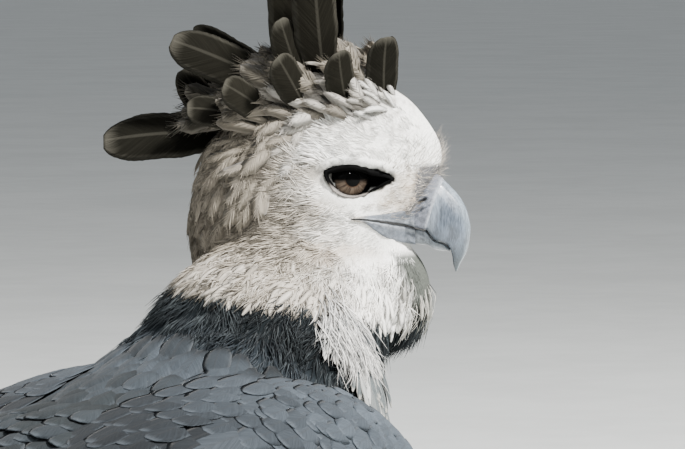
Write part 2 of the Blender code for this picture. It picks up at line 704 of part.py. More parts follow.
def wing_row(count, s_root, s_tip, phi_root, phi_tip, out, half, tilt, step, chance, stations=(0, 0.4, 0.8, 1.0)):
    """One tier of vanes. Each pair of numbers runs from the lowest vane to the highest, each step above the last."""
    pieces = []
    for i in range(count):
        share = i / (count - 1)
        between = [low + (high - low) * share for low, high in (s_root, s_tip, phi_root, phi_tip)]
        jitter = chance.uniform(-2, 2)
        pieces.append(wing_feather((between[0], between[1] + jitter), np.radians(between[2:]),
                                   (out[0] + step * i, out[1] + step * i), half * chance.uniform(0.98, 1.02), tilt, stations))
    return pieces


def left_wing(chance):
    long_vane = (0, 0.3, 0.6, 0.86, 1.0)
    pieces = []
    pieces += wing_row(5, (215, 232), (520, 440), (92, 76), (60, 50), (1.0, 1.4), 14.0, 0.0, 1.25, chance, long_vane)
    pieces += wing_row(7, (122, 205), (372, 446), (107, 38), (92, 26), (6.0, 8.8), 13.5, 0.10, 0, chance, long_vane)
    pieces += wing_row(7, (96, 154), (240, 305), (112, 42), (106, 34), (10.0, 12.8), 14.0, 0.10, 0, chance)
    pieces += wing_row(6, (70, 116), (170, 228), (112, 50), (108, 44), (13.0, 16.6), 15.5, 0.085, 0, chance, (0, 0.6, 1.0))
    pieces += wing_row(4, (76, 150), (212, 345), (42, 30), (33, 17), (15.5, 18.6), 15.0, 0.10, 0, chance)
    core = wing_core()
    combine(core, pieces, "UNION")
    return core


def tail(chance):
    """Twelve long rectrices over one another on their short fleshy root, with coverts above and below."""
    down = np.array((-math.cos(TAIL_FALL), 0, -math.sin(TAIL_FALL)))
    up = np.array((-math.sin(TAIL_FALL), 0, math.cos(TAIL_FALL)))
    root = np.array((TAIL_ROOT[0], 0, TAIL_ROOT[1]), float)
    share = np.linspace(0, 1, 7)
    wide = np.array((34, 38, 38, 34, 27, 19, 9), float)
    tall = np.array((22, 24, 21, 16, 11, 7, 3.5), float)
    turn = (np.arange(14) + 0.5) * 2 * math.pi / 14
    line = root + down * (share * 96 - 26)[:, None]
    rings = (line[:, None] + up * (tall[:, None] * np.cos(turn))[..., None]
             + np.array((0, 1.0, 0)) * (wide[:, None] * np.sin(turn))[..., None])
    core = loft("tail", rings)
    pieces = []
    t = np.array((0, 0.3, 0.86, 1.0))
    j = np.array((-1.0, 0.0, 1.0))
    for side in (1, -1):
        for i in range(RECTRICES):
            order = i + (0.5 if side > 0 else 0.0)
            y = side * (3.5 + 5.4 * i * (0.35 + 0.65 * t))
            half = RECTRIX_HALF * feather_outline(t, 0.45) * (1 - 0.05 * i)
            length = TAIL_LENGTH - 2.2 * i**1.6 + chance.uniform(-3, 3)
            level = 2.5 - 1.75 * order
            spot = root + down * (18 + t * (length - 18))[:, None] + np.array((0, 1.0, 0)) * y[:, None] + up * level
            grid = (spot[:, None] + np.array((0, 1.0, 0)) * (half[:, None] * j)[..., None]
                    - up * (0.02 * half[:, None] * np.abs(j))[..., None])
            thick = np.broadcast_to(np.array((EDGE, 0.95, EDGE)), grid.shape[:2])
            pieces.append(plate("vane", grid, thick))
    t = np.array((0, 0.5, 0.85, 1.0))
    for above in (1, -1):
        for i in range(5):
            y = (i - 2) * 14.0
            order = 2 - abs(i - 2) + (0.5 if i > 2 else 0.0)
            length = (118 if above > 0 else 150) - 7 * abs(i - 2)
            half = 15.0 * feather_outline(t, 0.5)
            level = above * (12 - 5.0 * t) + above * 1.7 * order + (0 if above > 0 else -9.5)
            spot = root + down * (12 + t * length)[:, None] + np.array((0, y, 0)) + up * level[:, None]
            grid = spot[:, None] + np.array((0, 1.0, 0)) * (half[:, None] * j)[..., None]
            thick = np.broadcast_to(np.array((EDGE, 0.95, EDGE)), grid.shape[:2])
            pieces.append(plate("vane", grid, thick))
    combine(core, pieces, "UNION")
    return core


def leg_line(side, a, b, share):
    a, b = np.array(a, float) * (1, side, 1), np.array(b, float) * (1, side, 1)
    return a + (b - a) * np.asarray(share)[:, None]


def thigh(name, side, grow=0.0):
    """Feathered shank and thigh, full at the belly and narrow at the hock."""
    share = np.linspace(-0.12, 1.06, 13)
    radii = smooth(np.clip(share, 0, 1.06), THIGH[:, 0], THIGH[:, 1:]) + grow
    radii[0] *= 0.7
    return tube(name, leg_line(side, HIP, HOCK, share), radii[:, 1], 14, radii[:, 0], grow)


def shank(name, side, grow=0.0):
    """Bare scaled shank, with broad scutes down its front, each raised at its lower edge."""
    upper = np.linspace(-0.02, 1.02, SHANK_SCUTES + 1)
    share = np.stack([upper[:-1], upper[1:] - 0.012], axis=1).ravel()
    share[0] -= grow / 120
    share[-1] += grow / 120
    radius = smooth(share, SHANK[:, 0], SHANK[:, 1]) + grow
    line = leg_line(side, HOCK, ANKLE, share)
    turn = np.arange(10) * 2 * math.pi / 10
    step = SCUTE_RISE * (np.arange(len(share)) % 2)
    front = np.clip(np.cos(turn), 0, 1)
    rings = (line[:, None] + np.array((1.0, 0, 0)) * ((radius[:, None] * 1.06 + step[:, None] * front) * np.cos(turn))[..., None]
             + np.array((0, 1.0, 0)) * (radius[:, None] * np.sin(turn))[..., None])
    return loft(name, rings)


def toe_path(side, degrees, length, root_radius, end_radius):
    """Knuckled line of one toe along the floor, from the ball of the foot."""
    heading = side * math.radians(degrees) + side * FOOT_TURN
    ahead = np.array((math.cos(heading), math.sin(heading), 0))
    t = np.array((0, 0.23, 0.26, 0.48, 0.51, 0.73, 0.76, 1.0))
    radius = root_radius + (end_radius - root_radius) * t
    knuckles = 0.09 * np.cos(t * 2 * math.pi * 2.5)
    start = np.array((ANKLE[0], side * ANKLE[1], 0.0))
    line = start + ahead * (4 + t * length)[:, None]
    height = radius * (0.9 - 0.8 * knuckles) + 9.0 * (1 - t) ** 3
    line[:, 2] = height - EYE_HEIGHT
    return line, radius * (1 + knuckles), ahead


def foot(side):
    name = "foot_left" if side > 0 else "foot_right"
    base = ball(name, (ANKLE[0] + 3, side * ANKLE[1], 13 - EYE_HEIGHT), (18, 18, 15.5), 12, 7)
    toes = []
    for _, degrees, length, root_radius, end_radius in TOES:
        line, radius, _ = toe_path(side, degrees, length, root_radius, end_radius)
        scutes = radius + SCUTE_RISE * (np.arange(len(radius)) % 2)
        toes.append(tube("toe", line, radius, 7, scutes))
    combine(base, toes, "UNION")
    combine(base, [shank("clearance", side, GAP)], "DIFFERENCE")
    part_at(base, (0, 0, -EYE_HEIGHT), (0, 0, -1))
    return base


def claw(side, toe):
    """Hooked talon, from the end of its toe down to the floor."""
    name_of_toe, degrees, length, root_radius, end_radius = toe
    line, radius, ahead = toe_path(side, degrees, length, root_radius, end_radius)
    chord, thick = CLAWS[name_of_toe]
    bend = CLAW_BEND
    arc = chord / (2 * math.sin(bend / 2))
    t = np.linspace(0, 1, 8)
    start_angle = math.radians(44)
    angle = start_angle - bend * t
    forward = arc * (math.sin(start_angle) - np.sin(angle))
    rise = arc * (np.cos(angle) - math.cos(start_angle))
    root = line[-1] + ahead * 1.5
    root[2] = line[-1][2] + 1.5
    width = thick * (1 - t) ** 0.75 + 0.35
    fall = rise - np.min(rise)
    lift = max(0.0, -(root[2] + EYE_HEIGHT + np.min(rise - width)) + 0.6)
    path = root + ahead * forward[:, None]
    path[:, 2] += rise + lift * np.clip(fall * 0 + t, 0, 1)
    made = tube(f"claw_{name_of_toe}_{'left' if side > 0 else 'right'}", path, width * 0.82, 6, width)
    toe_end = np.concatenate([line, line[-1:] + ahead * GAP])
    wide = np.concatenate([radius, radius[-1:]]) + GAP
    return combine(made, [tube("clearance", toe_end, wide, 7, wide + SCUTE_RISE + 0.1)], "DIFFERENCE")


def stand_at_origin(pieces):
    """Moves every piece so that the bird stands on the floor with its box centred on the origin."""
    corners = np.array([tuple(vert.co) for piece in pieces for vert in piece.data.vertices])
    low, high = corners.min(0), corners.max(0)
    shift = Matrix.Translation((-(low[0] + high[0]) / 2, -(low[1] + high[1]) / 2, -low[2]))
    for piece in pieces:
        piece.data.transform(shift)


def build():
    for old in list(bpy.data.objects):
        bpy.data.objects.remove(old)
    chance = np.random.default_rng(SEED)
    head, neck, torso = flesh()
    cere, hook, jaw = bill()
    sockets = [eyeball("socket", side, GAP) for side in (1, -1)]
    combine(head, [eye_opening(1), eye_opening(-1), mouth_line(1), mouth_line(-1)], "DIFFERENCE")
    combine(head, [brow(1), brow(-1), lids(1), lids(-1)] + crest(chance) + ruff(head, neck), "UNION")
    clear_neck = grown(neck, 2 * GAP)
    at, normal = head_plane()
    part_at(clear_neck, at + normal * GAP / 2, normal)
    clear_bill = loft("clearance", stretched(upper_rings(GAP)[:CERE_RINGS + 1], GAP))
    clear_jaw = loft("clearance", lower_rings(0.8))
    combine(head, sockets + [clear_neck, clear_bill, clear_jaw], "DIFFERENCE")
    combine(neck, [loft("clearance", lower_rings(0.5))], "DIFFERENCE")
    eyes = [eyeball("eye_left", 1), eyeball("eye_right", -1)]
    thighs = [thigh("thigh_left", 1), thigh("thigh_right", -1)]
    for piece in thighs:
        combine(piece, [body_tube("clearance", GAP)], "DIFFERENCE")
    wing = left_wing(chance)
    wing.name = "wing_left"
    clear_body = body_tube("clearance", 2 * GAP)
    combine(wing, [clear_body, mirrored(clear_body, "clearance"), thigh("clearance", 1, GAP)], "DIFFERENCE")
    wings = [wing, mirrored(wing, "wing_right")]
    rump = tail(chance)
    combine(rump, [body_tube("clearance", GAP)], "DIFFERENCE")
    shanks, feet, claws = [], [], []
    for side, word in ((1, "left"), (-1, "right")):
        shanks.append(combine(shank(f"shank_{word}", side), [thigh("clearance", side, GAP)], "DIFFERENCE"))
        feet.append(foot(side))
        claws += [claw(side, toe) for toe in TOES]
    kinds = [([head], "head"), ([neck], "neck"), ([torso], "torso"), (wings, "wing"), ([rump], "tail"),
             (thighs, "thigh"), (shanks + feet, "skin"), ([hook, jaw], "horn"), ([cere], "cere"), (claws, "claw"),
             (eyes, "eye")]
    for pieces, kind in kinds:
        for piece in pieces:
            paint(piece, kind)
    stand_at_origin([piece for pieces, _ in kinds for piece in pieces])


build()
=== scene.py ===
"""Looks of a life-size harpy eagle that stands still, its head turned over its right shoulder.

Lengths in the tables are millimetres in the body's frame: x along the body towards the head, y to the
bird's left, z up, from the point midway between the eyes. The head's tables are in the head's own frame,
with x forward along the bill. Every feather is a thin closed blade with its root in the skin.
"""

import math

import bpy
import numpy as np
from mathutils import Matrix, Vector


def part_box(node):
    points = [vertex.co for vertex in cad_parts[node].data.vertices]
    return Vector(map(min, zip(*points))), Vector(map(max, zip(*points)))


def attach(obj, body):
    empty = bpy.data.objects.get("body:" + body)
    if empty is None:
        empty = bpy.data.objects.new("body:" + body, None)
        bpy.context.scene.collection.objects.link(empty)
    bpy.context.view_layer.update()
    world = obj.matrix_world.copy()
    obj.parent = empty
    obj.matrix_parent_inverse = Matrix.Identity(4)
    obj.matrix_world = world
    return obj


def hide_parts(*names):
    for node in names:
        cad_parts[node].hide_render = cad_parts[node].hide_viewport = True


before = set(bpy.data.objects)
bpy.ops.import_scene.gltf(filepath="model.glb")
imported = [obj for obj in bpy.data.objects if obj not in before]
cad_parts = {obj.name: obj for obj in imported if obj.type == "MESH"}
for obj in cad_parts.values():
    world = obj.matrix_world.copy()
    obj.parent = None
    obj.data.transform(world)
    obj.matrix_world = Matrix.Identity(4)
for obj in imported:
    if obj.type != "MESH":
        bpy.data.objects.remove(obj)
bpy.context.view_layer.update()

MM = 0.001
SEED = 11
TAU = 2 * math.pi
HEAD_TURN = math.radians(-58.0)
EYE_HEIGHT = 512.0

# Centre x and z, half-width, height to the back, depth to the belly and shift to the left.
BODY = np.array([
    (-18, -14, 30, 32, 30, 14), (-26, -44, 46, 52, 44, 14), (-44, -76, 60, 66, 56, 12),
    (-76, -112, 76, 76, 72, 7), (-122, -152, 103, 82, 94, 0), (-180, -183, 114, 88, 100, 0),
    (-245, -204, 110, 90, 97, 0), (-310, -228, 90, 72, 80, 0), (-365, -251, 64, 48, 55, 0),
    (-402, -267, 46, 31, 34, 0), (-420, -274, 32, 20, 22, 0),
], float)
# The same for the surface that the folded wings lie on.
WING_LINE = np.array([
    (-66, -137, 95, 72, 88, 0), (-122, -159, 110, 84, 97, 0), (-180, -183, 117, 91, 102, 0),
    (-245, -205, 115, 92, 99, 0), (-310, -228, 101, 82, 88, 0), (-365, -248, 84, 66, 68, 0),
    (-430, -272, 68, 52, 52, 0), (-500, -297, 55, 42, 42, 0), (-575, -324, 44, 33, 33, 0),
], float)
# Rings of the head: top x and z, bottom x and z, half-width, share of the height where it is widest.
HEAD = np.array([
    (-91, -24, -92, -32, 7, 0.50), (-87, 1, -90, -48, 28, 0.50), (-78, 25, -82, -60, 43, 0.45),
    (-62, 42, -64, -67, 55, 0.42), (-42, 53, -44, -71, 61, 0.40), (-20, 57.5, -24, -74, 58, 0.38),
    (2, 57, -6, -74, 49, 0.38), (19.5, 52.5, 6, -68, 41, 0.40), (30.5, 44.5, 14, -56, 34.5, 0.44),
    (39.5, 33.5, 19, -46, 28, 0.50), (46, 22.5, 22, -39, 22, 0.50), (48, 11, 24, -34.5, 16.5, 0.50),
], float)
# Rings of the upper bill: ridge x and z, cutting edge x and z, half-width.
UPPER_BILL = np.array([
    (30, 9, 24, -24.2, 16.2), (38, 6.5, 31, -24.9, 15.2), (47, 0.9, 38.6, -26.2, 13.2),
    (50.7, -2.6, 40.5, -28.4, 12.3), (54.8, -6.8, 42, -31.0, 11.6), (58.1, -11.9, 44.4, -32.5, 10.8),
    (60.3, -16.9, 47.4, -33.4, 9.8), (61.6, -22.4, 50.0, -34.6, 8.6), (61.9, -27.4, 51.5, -36.6, 7.3),
    (61.6, -32.5, 52.1, -39.4, 5.9), (60.7, -36.7, 52.7, -42.8, 4.5), (59.0, -40.9, 53.0, -46.2, 3.1),
    (56.5, -45.5, 53.4, -48.6, 1.7), (54.4, -49.6, 53.9, -50.0, 0.5),
], float)
# Rings of the lower bill: x, upper edge z, lower edge z, half-width.
LOWER_BILL = np.array([
    (0, -22.9, -24.2, 15.0), (6, -22.5, -26.5, 15.2), (14, -23.0, -31.0, 14.4), (24, -24.8, -34.2, 12.6),
    (32, -25.8, -34.6, 11.0), (37, -26.4, -35.6, 9.8), (40.2, -29.6, -36.6, 9.0), (42.6, -32.6, -37.8, 8.0),
    (46.6, -34.2, -38.6, 6.2), (50.6, -36.4, -38.9, 3.2),
], float)
# Outlines of the bill's sections, as shares of height and half-width, from the ridge round to the other edge.
UPPER_SECTION = ((1.0, 0.0), (0.975, 0.30), (0.90, 0.54), (0.72, 0.78), (0.50, 0.93), (0.25, 0.99),
                 (0.03, 0.96), (0.0, 0.90), (0.05, 0.5), (0.06, 0.0))
LOWER_SECTION = ((1.0, 0.0), (0.97, 0.55), (1.0, 0.97), (0.93, 1.0), (0.5, 0.97), (0.22, 0.78), (0.06, 0.45),
                 (0.0, 0.0))
# Nostril and creases of the cere: middle x and z, length, width and depth.
CERE_FOLDS = ((36.6, -10.6, 2.9, 0.75, 3.0), (34.6, -16.2, 3.0, 0.7, 1.5), (32.4, -19.6, 2.2, 0.5, 0.6),
              (39.8, -14.0, 2.6, 0.5, 0.5))
# Part of the nostril painted near-black as the shade inside its opening: middle x and z, length and width.
NOSTRIL = (36.6, -10.6, 3.0, 0.7)
CERE_SLOPE = math.radians(34)
EYE_CENTRE = np.array((-3.0, 28.6, 2.6))
EYE_RADIUS = 13.2
EYE_AIM = math.radians(66)
CORNEA = (1.3, 9.6)
IRIS_RADIUS = 9.9
# Brow ridges: x, y, z and radius.
BROW = np.array([(-19, 44.0, 5.5, 1.8), (-11, 45.0, 9.6, 3.4), (-2, 44.6, 11.2, 4.0), (8, 41.5, 10.0, 4.0),
                 (17, 36.0, 6.6, 3.8), (24, 30.5, 2.2, 3.0), (28, 27.0, -1.5, 1.8)], float)
# Lids seen from the side, x and z in the head's frame: the margin against the eye, then the outer edge.
LID_MARGIN = np.array([
    (-9.6, 5.6), (-5.6, 6.6), (-1.2, 7.2), (2.0, 7.4), (6.4, 6.7), (12.0, 4.9), (17.0, 3.8), (20.4, 3.0),
    (21.8, 2.2), (18.6, 0.8), (15.6, -1.2), (12.0, -3.0), (8.1, -5.0), (3.1, -6.1), (-1.9, -5.3),
    (-6.0, -2.6), (-8.8, 1.2), (-10.2, 3.9),
], float)
LID_EDGE = np.array([
    (-12.4, 7.4), (-7.8, 9.4), (-2.4, 10.5), (2.4, 10.9), (7.4, 9.8), (13.4, 8.2), (19.0, 6.2), (22.6, 4.2),
    (24.0, 2.2), (19.8, -0.4), (16.0, -2.6), (12.4, -4.5), (8.5, -6.4), (3.1, -7.6), (-2.6, -6.8),
    (-7.2, -4.1), (-10.4, 0.2), (-12.0, 3.6),
], float)
# Across the lid from margin to edge and back under it: the share of the way, and the height over the eye.
LID_SHARE = np.array((0.0, 0.06, 0.22, 0.42, 0.62, 0.82, 1.0, 1.0, 0.6, 0.1))
LID_LEVEL = np.array((0.15, 0.55, 0.85, 0.8, 0.6, 0.3, -0.4, -2.6, -2.8, -1.4))
# Lower edge of the brow's shelf, and the mouth's line from its corner to the bill, x and z.
BROW_LINE = np.array([(-24, 6.0), (-14, 9.0), (-6, 12.6), (2, 13.6), (10, 12.0), (18, 9.0), (26, 5.0),
                      (31, 1.0)])
MOUTH = np.array([(2.2, -19.2), (7.0, -19.3), (12.0, -20.0), (17.0, -20.8), (22.6, -22.0), (28.0, -23.7),
                  (33.0, -25.3), (38.5, -26.7)])
# Outer edges of the bare skin above and below the mouth's line, x and z.
UPPER_LIP = np.array([(2, -18.6), (6, -17.9), (12, -17.3), (20, -16.6), (26, -15.6), (33, -14.4)])
LOWER_LIP = np.array([(2, -20.0), (6, -20.7), (10, -22.2), (14, -25.6), (18, -29.2), (23, -32.2), (28, -33.8),
                      (33, -34.6)])
# Across a lip from the mouth's line to its outer edge: the share of the way, and the height over the cheek.
LIP_SHARE = np.array((0.0, 0.05, 0.13, 0.24, 0.4, 0.6, 0.8, 0.93, 1.0))
LIP_LEVEL = np.array((-0.9, 0.35, 0.95, 0.75, 0.45, 0.4, 0.3, 0.0, -1.2))
# Middle and radii of the throat's swelling, and a point and the tilt of the plane that parts head and neck.
THROAT = ((-5, 0, -62), (43, 48, 40))
HEAD_CUT = ((-20, 0, -70), math.radians(-11))
# Depth of the coat over the skin on face, head, neck and trunk.
COAT = (1.2, 2.6, 5.0, 6.5)

# Main crest feathers: root x, y and z, rise in degrees (90 up, 180 back), splay, length, half-width, bow.
CREST = (
    (-68, 13, 27, 178, 13, 76, 15.5, 0.05), (-42, 12, 51, 149, 16, 70, 14.5, 0.06),
    (-30, 8, 48, 101, 7, 92, 15.0, -0.10), (-17, 13, 50, 97, 15, 84, 14.5, -0.08),
    (15, 8, 42, 95, 9, 41, 10.5, -0.10), (-72, 6, 18, 118, 5, 54, 10.0, 0.05),
    (-60, 27, 36, 160, 30, 38, 10.5, 0.06), (-46, 33, 38, 136, 34, 36, 10.5, 0.06),
    (-26, 31, 42, 112, 32, 38, 10.5, 0.0), (-4, 25, 44, 98, 26, 34, 10.0, -0.05),
    (-27, 20, 46, 108, 20, 52, 10.0, -0.06),
)
HEAD_STRANDS = (32500, 4000)
NECK_STRANDS = (13000, 1500)
CREST_BACK, CREST_FRONT = 74, 22
CROWN_SCALES = 420
CROWN_FLUFF = 380
BRISTLES = 1300
RUFF_VANES, RUFF_STRANDS = 900, 5600
BIB_VANES, BIB_STRANDS = 170, 1300
# Where the bib's roots lie in the camera's picture, 685 by 449: its first x and y, and how far it runs.
BIB_NARROW = (326, 306, 46, 26)
BIB_BROAD = (356, 338, 24, 30)
BIB_FINE = (328, 303, 38, 36)
EYE_PIXEL = (351, 181.3)
MM_PER_PIXEL = 0.5504

# The folded wing: distance along its line, thickness, and its upper and lower edges as angles from the back.
WING_S = np.array((12, 22, 42, 72, 110, 150, 190, 230, 266), float)
WING_THICK = np.array((3, 10, 14, 15.5, 16, 13.5, 9.5, 5.4, 2.4))
WING_TOP = np.radians((78, 60, 44, 34, 28, 25, 23, 24, 28))
WING_LOW = np.radians((108, 118, 122, 121, 119, 116, 112, 107, 100))
WING_PATCH = (460, 2.4)
# Tiers of long vanes: number, roots and tips along the wing, roots and tips round it in degrees, outward
# reach at root and tip, half-width, tilt, step outwards from one to the next, rows and columns of points.
PRIMARIES = (9, (212, 236), (522, 425), (93, 75), (61, 49), (0.4, 0.8), 13.5, 0.0, 0.60, 34, 7)
SECONDARIES = (12, (118, 205), (368, 446), (108, 38), (93, 26), (5.4, 8.0), 10.8, 0.10, 0.0, 28, 7)
COVERTS = (
    (13, (92, 154), (238, 305), (113, 42), (107, 34), (9.2, 11.8), 10.6, 0.10, 0.0, 16, 7),
    (12, (70, 116), (176, 232), (114, 50), (109, 44), (12.4, 15.4), 10.6, 0.09, 0.0, 14, 7),
    (11, (58, 96), (140, 186), (112, 52), (107, 47), (14.4, 17.0), 10.4, 0.09, 0.0, 12, 7),
)
# Rows of small coverts: first and last distance, pitch, spacing, length, half-width and lift of the tips.
SMALL_COVERTS = ((16, 122, 7.6, 11.0, 27, 8.0, 2.4), (12, 70, 7.0, 9.0, 20, 6.4, 3.2))
SCAPULAR_S = (60, 110, 200, 310)
SCAPULAR_LOW = (60, 54, 42, 34)
SCAPULAR_TOP = (26, 20, 15, 14)
# Rows of points along a rounded feather, closer towards its tip.
ROUND_TIP = np.array((0, 0.35, 0.60, 0.75, 0.86, 0.93, 0.98, 1.0))
BROAD_TIP = np.array((0, 0.30, 0.55, 0.70, 0.80, 0.88, 0.94, 0.98, 1.0))

TAIL_ROOT = np.array((-392.0, 0, -263))
TAIL_FALL = math.radians(19.5)
TAIL_LENGTH = 392.0
TAIL_WIDE = np.array((34, 38, 38, 34, 27, 19, 9), float)
TAIL_TALL = np.array((22, 24, 21, 16, 11, 7, 3.5))

HIP = (-196, 58, -226)
HOCK = (-232, 62, -366)
ANKLE = (-206, 64, -488)
# Share of the way down, then the half-widths of the thigh fore and aft and across, or the shank's radius.
THIGH = np.array([(0.0, 50, 46), (0.3, 52, 44), (0.6, 42, 36), (0.85, 29, 27), (1.0, 21, 20), (1.06, 12, 12)])
SHANK = np.array([(-0.02, 12.0), (0.06, 16.5), (0.16, 14.6), (0.45, 13.6), (0.75, 13.8), (0.92, 15.5),
                  (1.02, 14.0)])
FOOT_TURN = math.radians(6)
# Toes: direction in degrees, length, radius at root and end. Claws: chord and thickness.
TOES = (("inner", -24, 64, 11.5, 9.0), ("middle", 4, 88, 11.5, 8.2), ("outer", 36, 66, 10.5, 7.6),
        ("hind", 176, 50, 12.5, 10.0))
CLAWS = {"inner": (52, 7.2), "middle": (41, 6.2), "outer": (35, 5.6), "hind": (66, 8.4)}
CLAW_BEND = math.radians(118)
CLAW_START = math.radians(44)
SHANK_PLATES = 13.0
TOE_PLATE = 7.2

# Colours as they look, 0 to 255.
WHITE = (240, 239, 235)
ASH = (144, 137, 126)
TAUPE = (116, 109, 97)
SLATE = (27, 31, 33)
MANTLE = (52, 58, 64)
DARK = (15, 17, 19)
CREST_GREY = (13, 13, 11)
BELLY = (232, 229, 222)
PALE_HORN = (146, 151, 158)
LEG_SKIN = ((196, 172, 104), (120, 98, 52))
TOE_SKIN = ((196, 170, 98), (118, 96, 50))

# Camera: azimuth and elevation in degrees, distance, and the width of its view at the head, in metres.
VIEW = (-49, 3)
CAMERA_FAR = 3.0
VIEW_WIDE = 0.377
SENSOR = 36.0
# Lamps: metres to the right, up and back from the head, size, watts and colour.
LAMPS = (
    ("key", 3.0, 4.0, 2.1, 1.0, 1650.0, (1.0, 0.98, 0.95)),
    ("fill", -4.4, 2.4, 4.0, 4.0, 30.0, (0.94, 0.97, 1.0)),
    ("rim", 1.4, 3.6, -4.0, 2.0, 90.0, (1.0, 1.0, 1.0)),
    ("catch", 0.6, 2.35, 3.5, 0.22, 120.0, (1.0, 1.0, 1.0)),
)
SKY = (0.80, 0.84, 0.88, 1)
SKY_STRENGTH = 0.48
FLOOR_RINGS = np.array((0.5, 1, 2, 4, 8, 16, 40, 95.0))


# Numbers and curves

def linear(colour):
    """Display colour to light: ((c/255 + 0.055)/1.055) to the power 2.4."""
    return ((np.asarray(colour, float) / 255 + 0.055) / 1.055) ** 2.4


def opaque(colour):
    """Display colour as a shader's four numbers."""
    return (*linear(colour), 1)


def unit(vectors):
    """Vectors divided by their length."""
    return vectors / np.maximum(np.linalg.norm(vectors, axis=-1, keepdims=True), 1e-9)


def flat_on(way, face):
    """The way less its part along the face's normal, at length one."""
    return unit(way - face * (way * face).sum(-1, keepdims=True))


def step_between(low, high, value):
    """0 below low, 1 above high, 3t^2 - 2t^3 between."""
    t = np.clip((value - low) / (high - low), 0, 1)
    return t * t * (3 - 2 * t)


def bell(value, middle, width):
    """1 at the middle, falling away as e to the power -((value - middle)/width)^2."""
    return np.exp(-((value - middle) / width) ** 2)


def mix(a, b, share):
    """a + (b - a) times share, for colours in rows; a tuple is a display colour."""
    a, b = (linear(colour) if isinstance(colour, tuple) else colour for colour in (a, b))
    return a + (b - a) * np.asarray(share)[..., None]


def around(count):
    """Equal turns of a full circle."""
    return np.arange(count) * TAU / count


def ripple(points, size, seed):
    """Soft random field: the sum of twelve plane waves about size long, scaled to about -1 to 1."""
    draw = np.random.default_rng(seed)
    waves = unit(draw.normal(size=(12, 3))) * TAU / size * draw.uniform(0.6, 1.5, (12, 1))
    return np.sin(points @ waves.T + draw.uniform(0, TAU, 12)).sum(-1) / 3.6


def wavy(points, share, size, seed, spread):
    """Soft field and scatter: share ripple(points) + a normal draw of the spread for each point."""
    return share * ripple(points, size, seed) + chance.normal(0, spread, len(points))


def smooth(at, stations, values):
    """Cubic Hermite curve through the rows of values, read at the given stations."""
    at = np.clip(np.asarray(at, float), stations[0], stations[-1])
    values = np.asarray(values, float)
    slopes = np.gradient(values, stations, axis=0)
    low = np.clip(np.searchsorted(stations, at, side="right") - 1, 0, len(stations) - 2)
    span = stations[low + 1] - stations[low]
    t = (at - stations[low]) / span
    if values.ndim == 2:
        t, span = t[..., None], span[..., None]
    return (values[low] * (2 * t**3 - 3 * t**2 + 1) + slopes[low] * span * (t**3 - 2 * t**2 + t)
            + values[low + 1] * (3 * t**2 - 2 * t**3) + slopes[low + 1] * span * (t**3 - t**2))


def rows_of(table, places):
    """The table's rows read by the same curve at places counted in rows."""
    return smooth(places, np.arange(len(table), dtype=float), table)


def resampled(table, count):
    """The table's rows resampled to count rows."""
    return rows_of(table, np.linspace(0, len(table) - 1, count))


def lengths(table):
    """Distance along a table's centre line at each of its rows."""
    return np.concatenate([[0], np.cumsum(np.hypot(*np.diff(table[:, :2], axis=0).T))])


def tube_point(table, s, phi, out=0.0):
    """Point at distance s along a table's line and angle phi from the back, moved out from the surface."""
    stations = lengths(table)
    s, phi, out = np.broadcast_arrays(np.asarray(s, float), phi, out)
    row = smooth(s, stations, table)
    along = unit(smooth(s + 2.0, stations, table[:, :2]) - smooth(s - 2.0, stations, table[:, :2]))
    up = np.stack([along[..., 1], -along[..., 0]], axis=-1)
    rise = np.where(np.cos(phi) > 0, row[..., 3], row[..., 4]) + out
    spot = row[..., :2] + up * (rise * np.cos(phi))[..., None]
    return np.stack([spot[..., 0], row[..., 5] + (row[..., 2] + out) * np.sin(phi), spot[..., 1]], axis=-1)


def tube_frame(table, s, phi, out):
    """Point, outward normal and direction towards the tail, from differences of tube_point."""
    tailward = unit(tube_point(table, s + 1.5, phi, out) - tube_point(table, s - 1.5, phi, out))
    round_it = unit(tube_point(table, s, phi + 0.02, out) - tube_point(table, s, phi - 0.02, out))
    return tube_point(table, s, phi, out), unit(np.cross(round_it, tailward)), tailward


def to_head(points):
    """Head frame to body frame, a turn about z."""
    c, s = math.cos(HEAD_TURN), math.sin(HEAD_TURN)
    return np.asarray(points, float) @ np.array([(c, s, 0), (-s, c, 0), (0, 0, 1)])


def in_head(points):
    """Body frame to head frame."""
    c, s = math.cos(HEAD_TURN), math.sin(HEAD_TURN)
    return np.asarray(points, float) @ np.array([(c, -s, 0), (s, c, 0), (0, 0, 1)])


def head_point(r, phi):
    """Point of the head's surface at ring r and angle phi from the crown, with the hollow before the eye."""
    row, phi = np.broadcast_arrays(rows_of(HEAD, r)[:, None, :], np.asarray(phi, float)[None, :, None])
    phi = phi[..., 0]
    share = ((1 + np.cos(phi)) / 2) ** (np.log(row[..., 5]) / math.log(0.5))
    x = row[..., 2] + (row[..., 0] - row[..., 2]) * share
    z = row[..., 3] + (row[..., 1] - row[..., 3]) * share
    y = row[..., 4] * np.sin(phi)
    hollow = 5.5 * np.exp(-((x - 3) ** 2 / 220 + (z + 3) ** 2 / 130))
    return np.stack([x, y - np.sign(y) * hollow, z], axis=-1)


def hoops(line, across, wide, up, tall, turn):
    """Rings round a line: line + across wide cos(turn) + up tall sin(turn)."""
    return line[:, None] + across * (wide * np.cos(turn))[..., None] + up * (tall * np.sin(turn))[..., None]


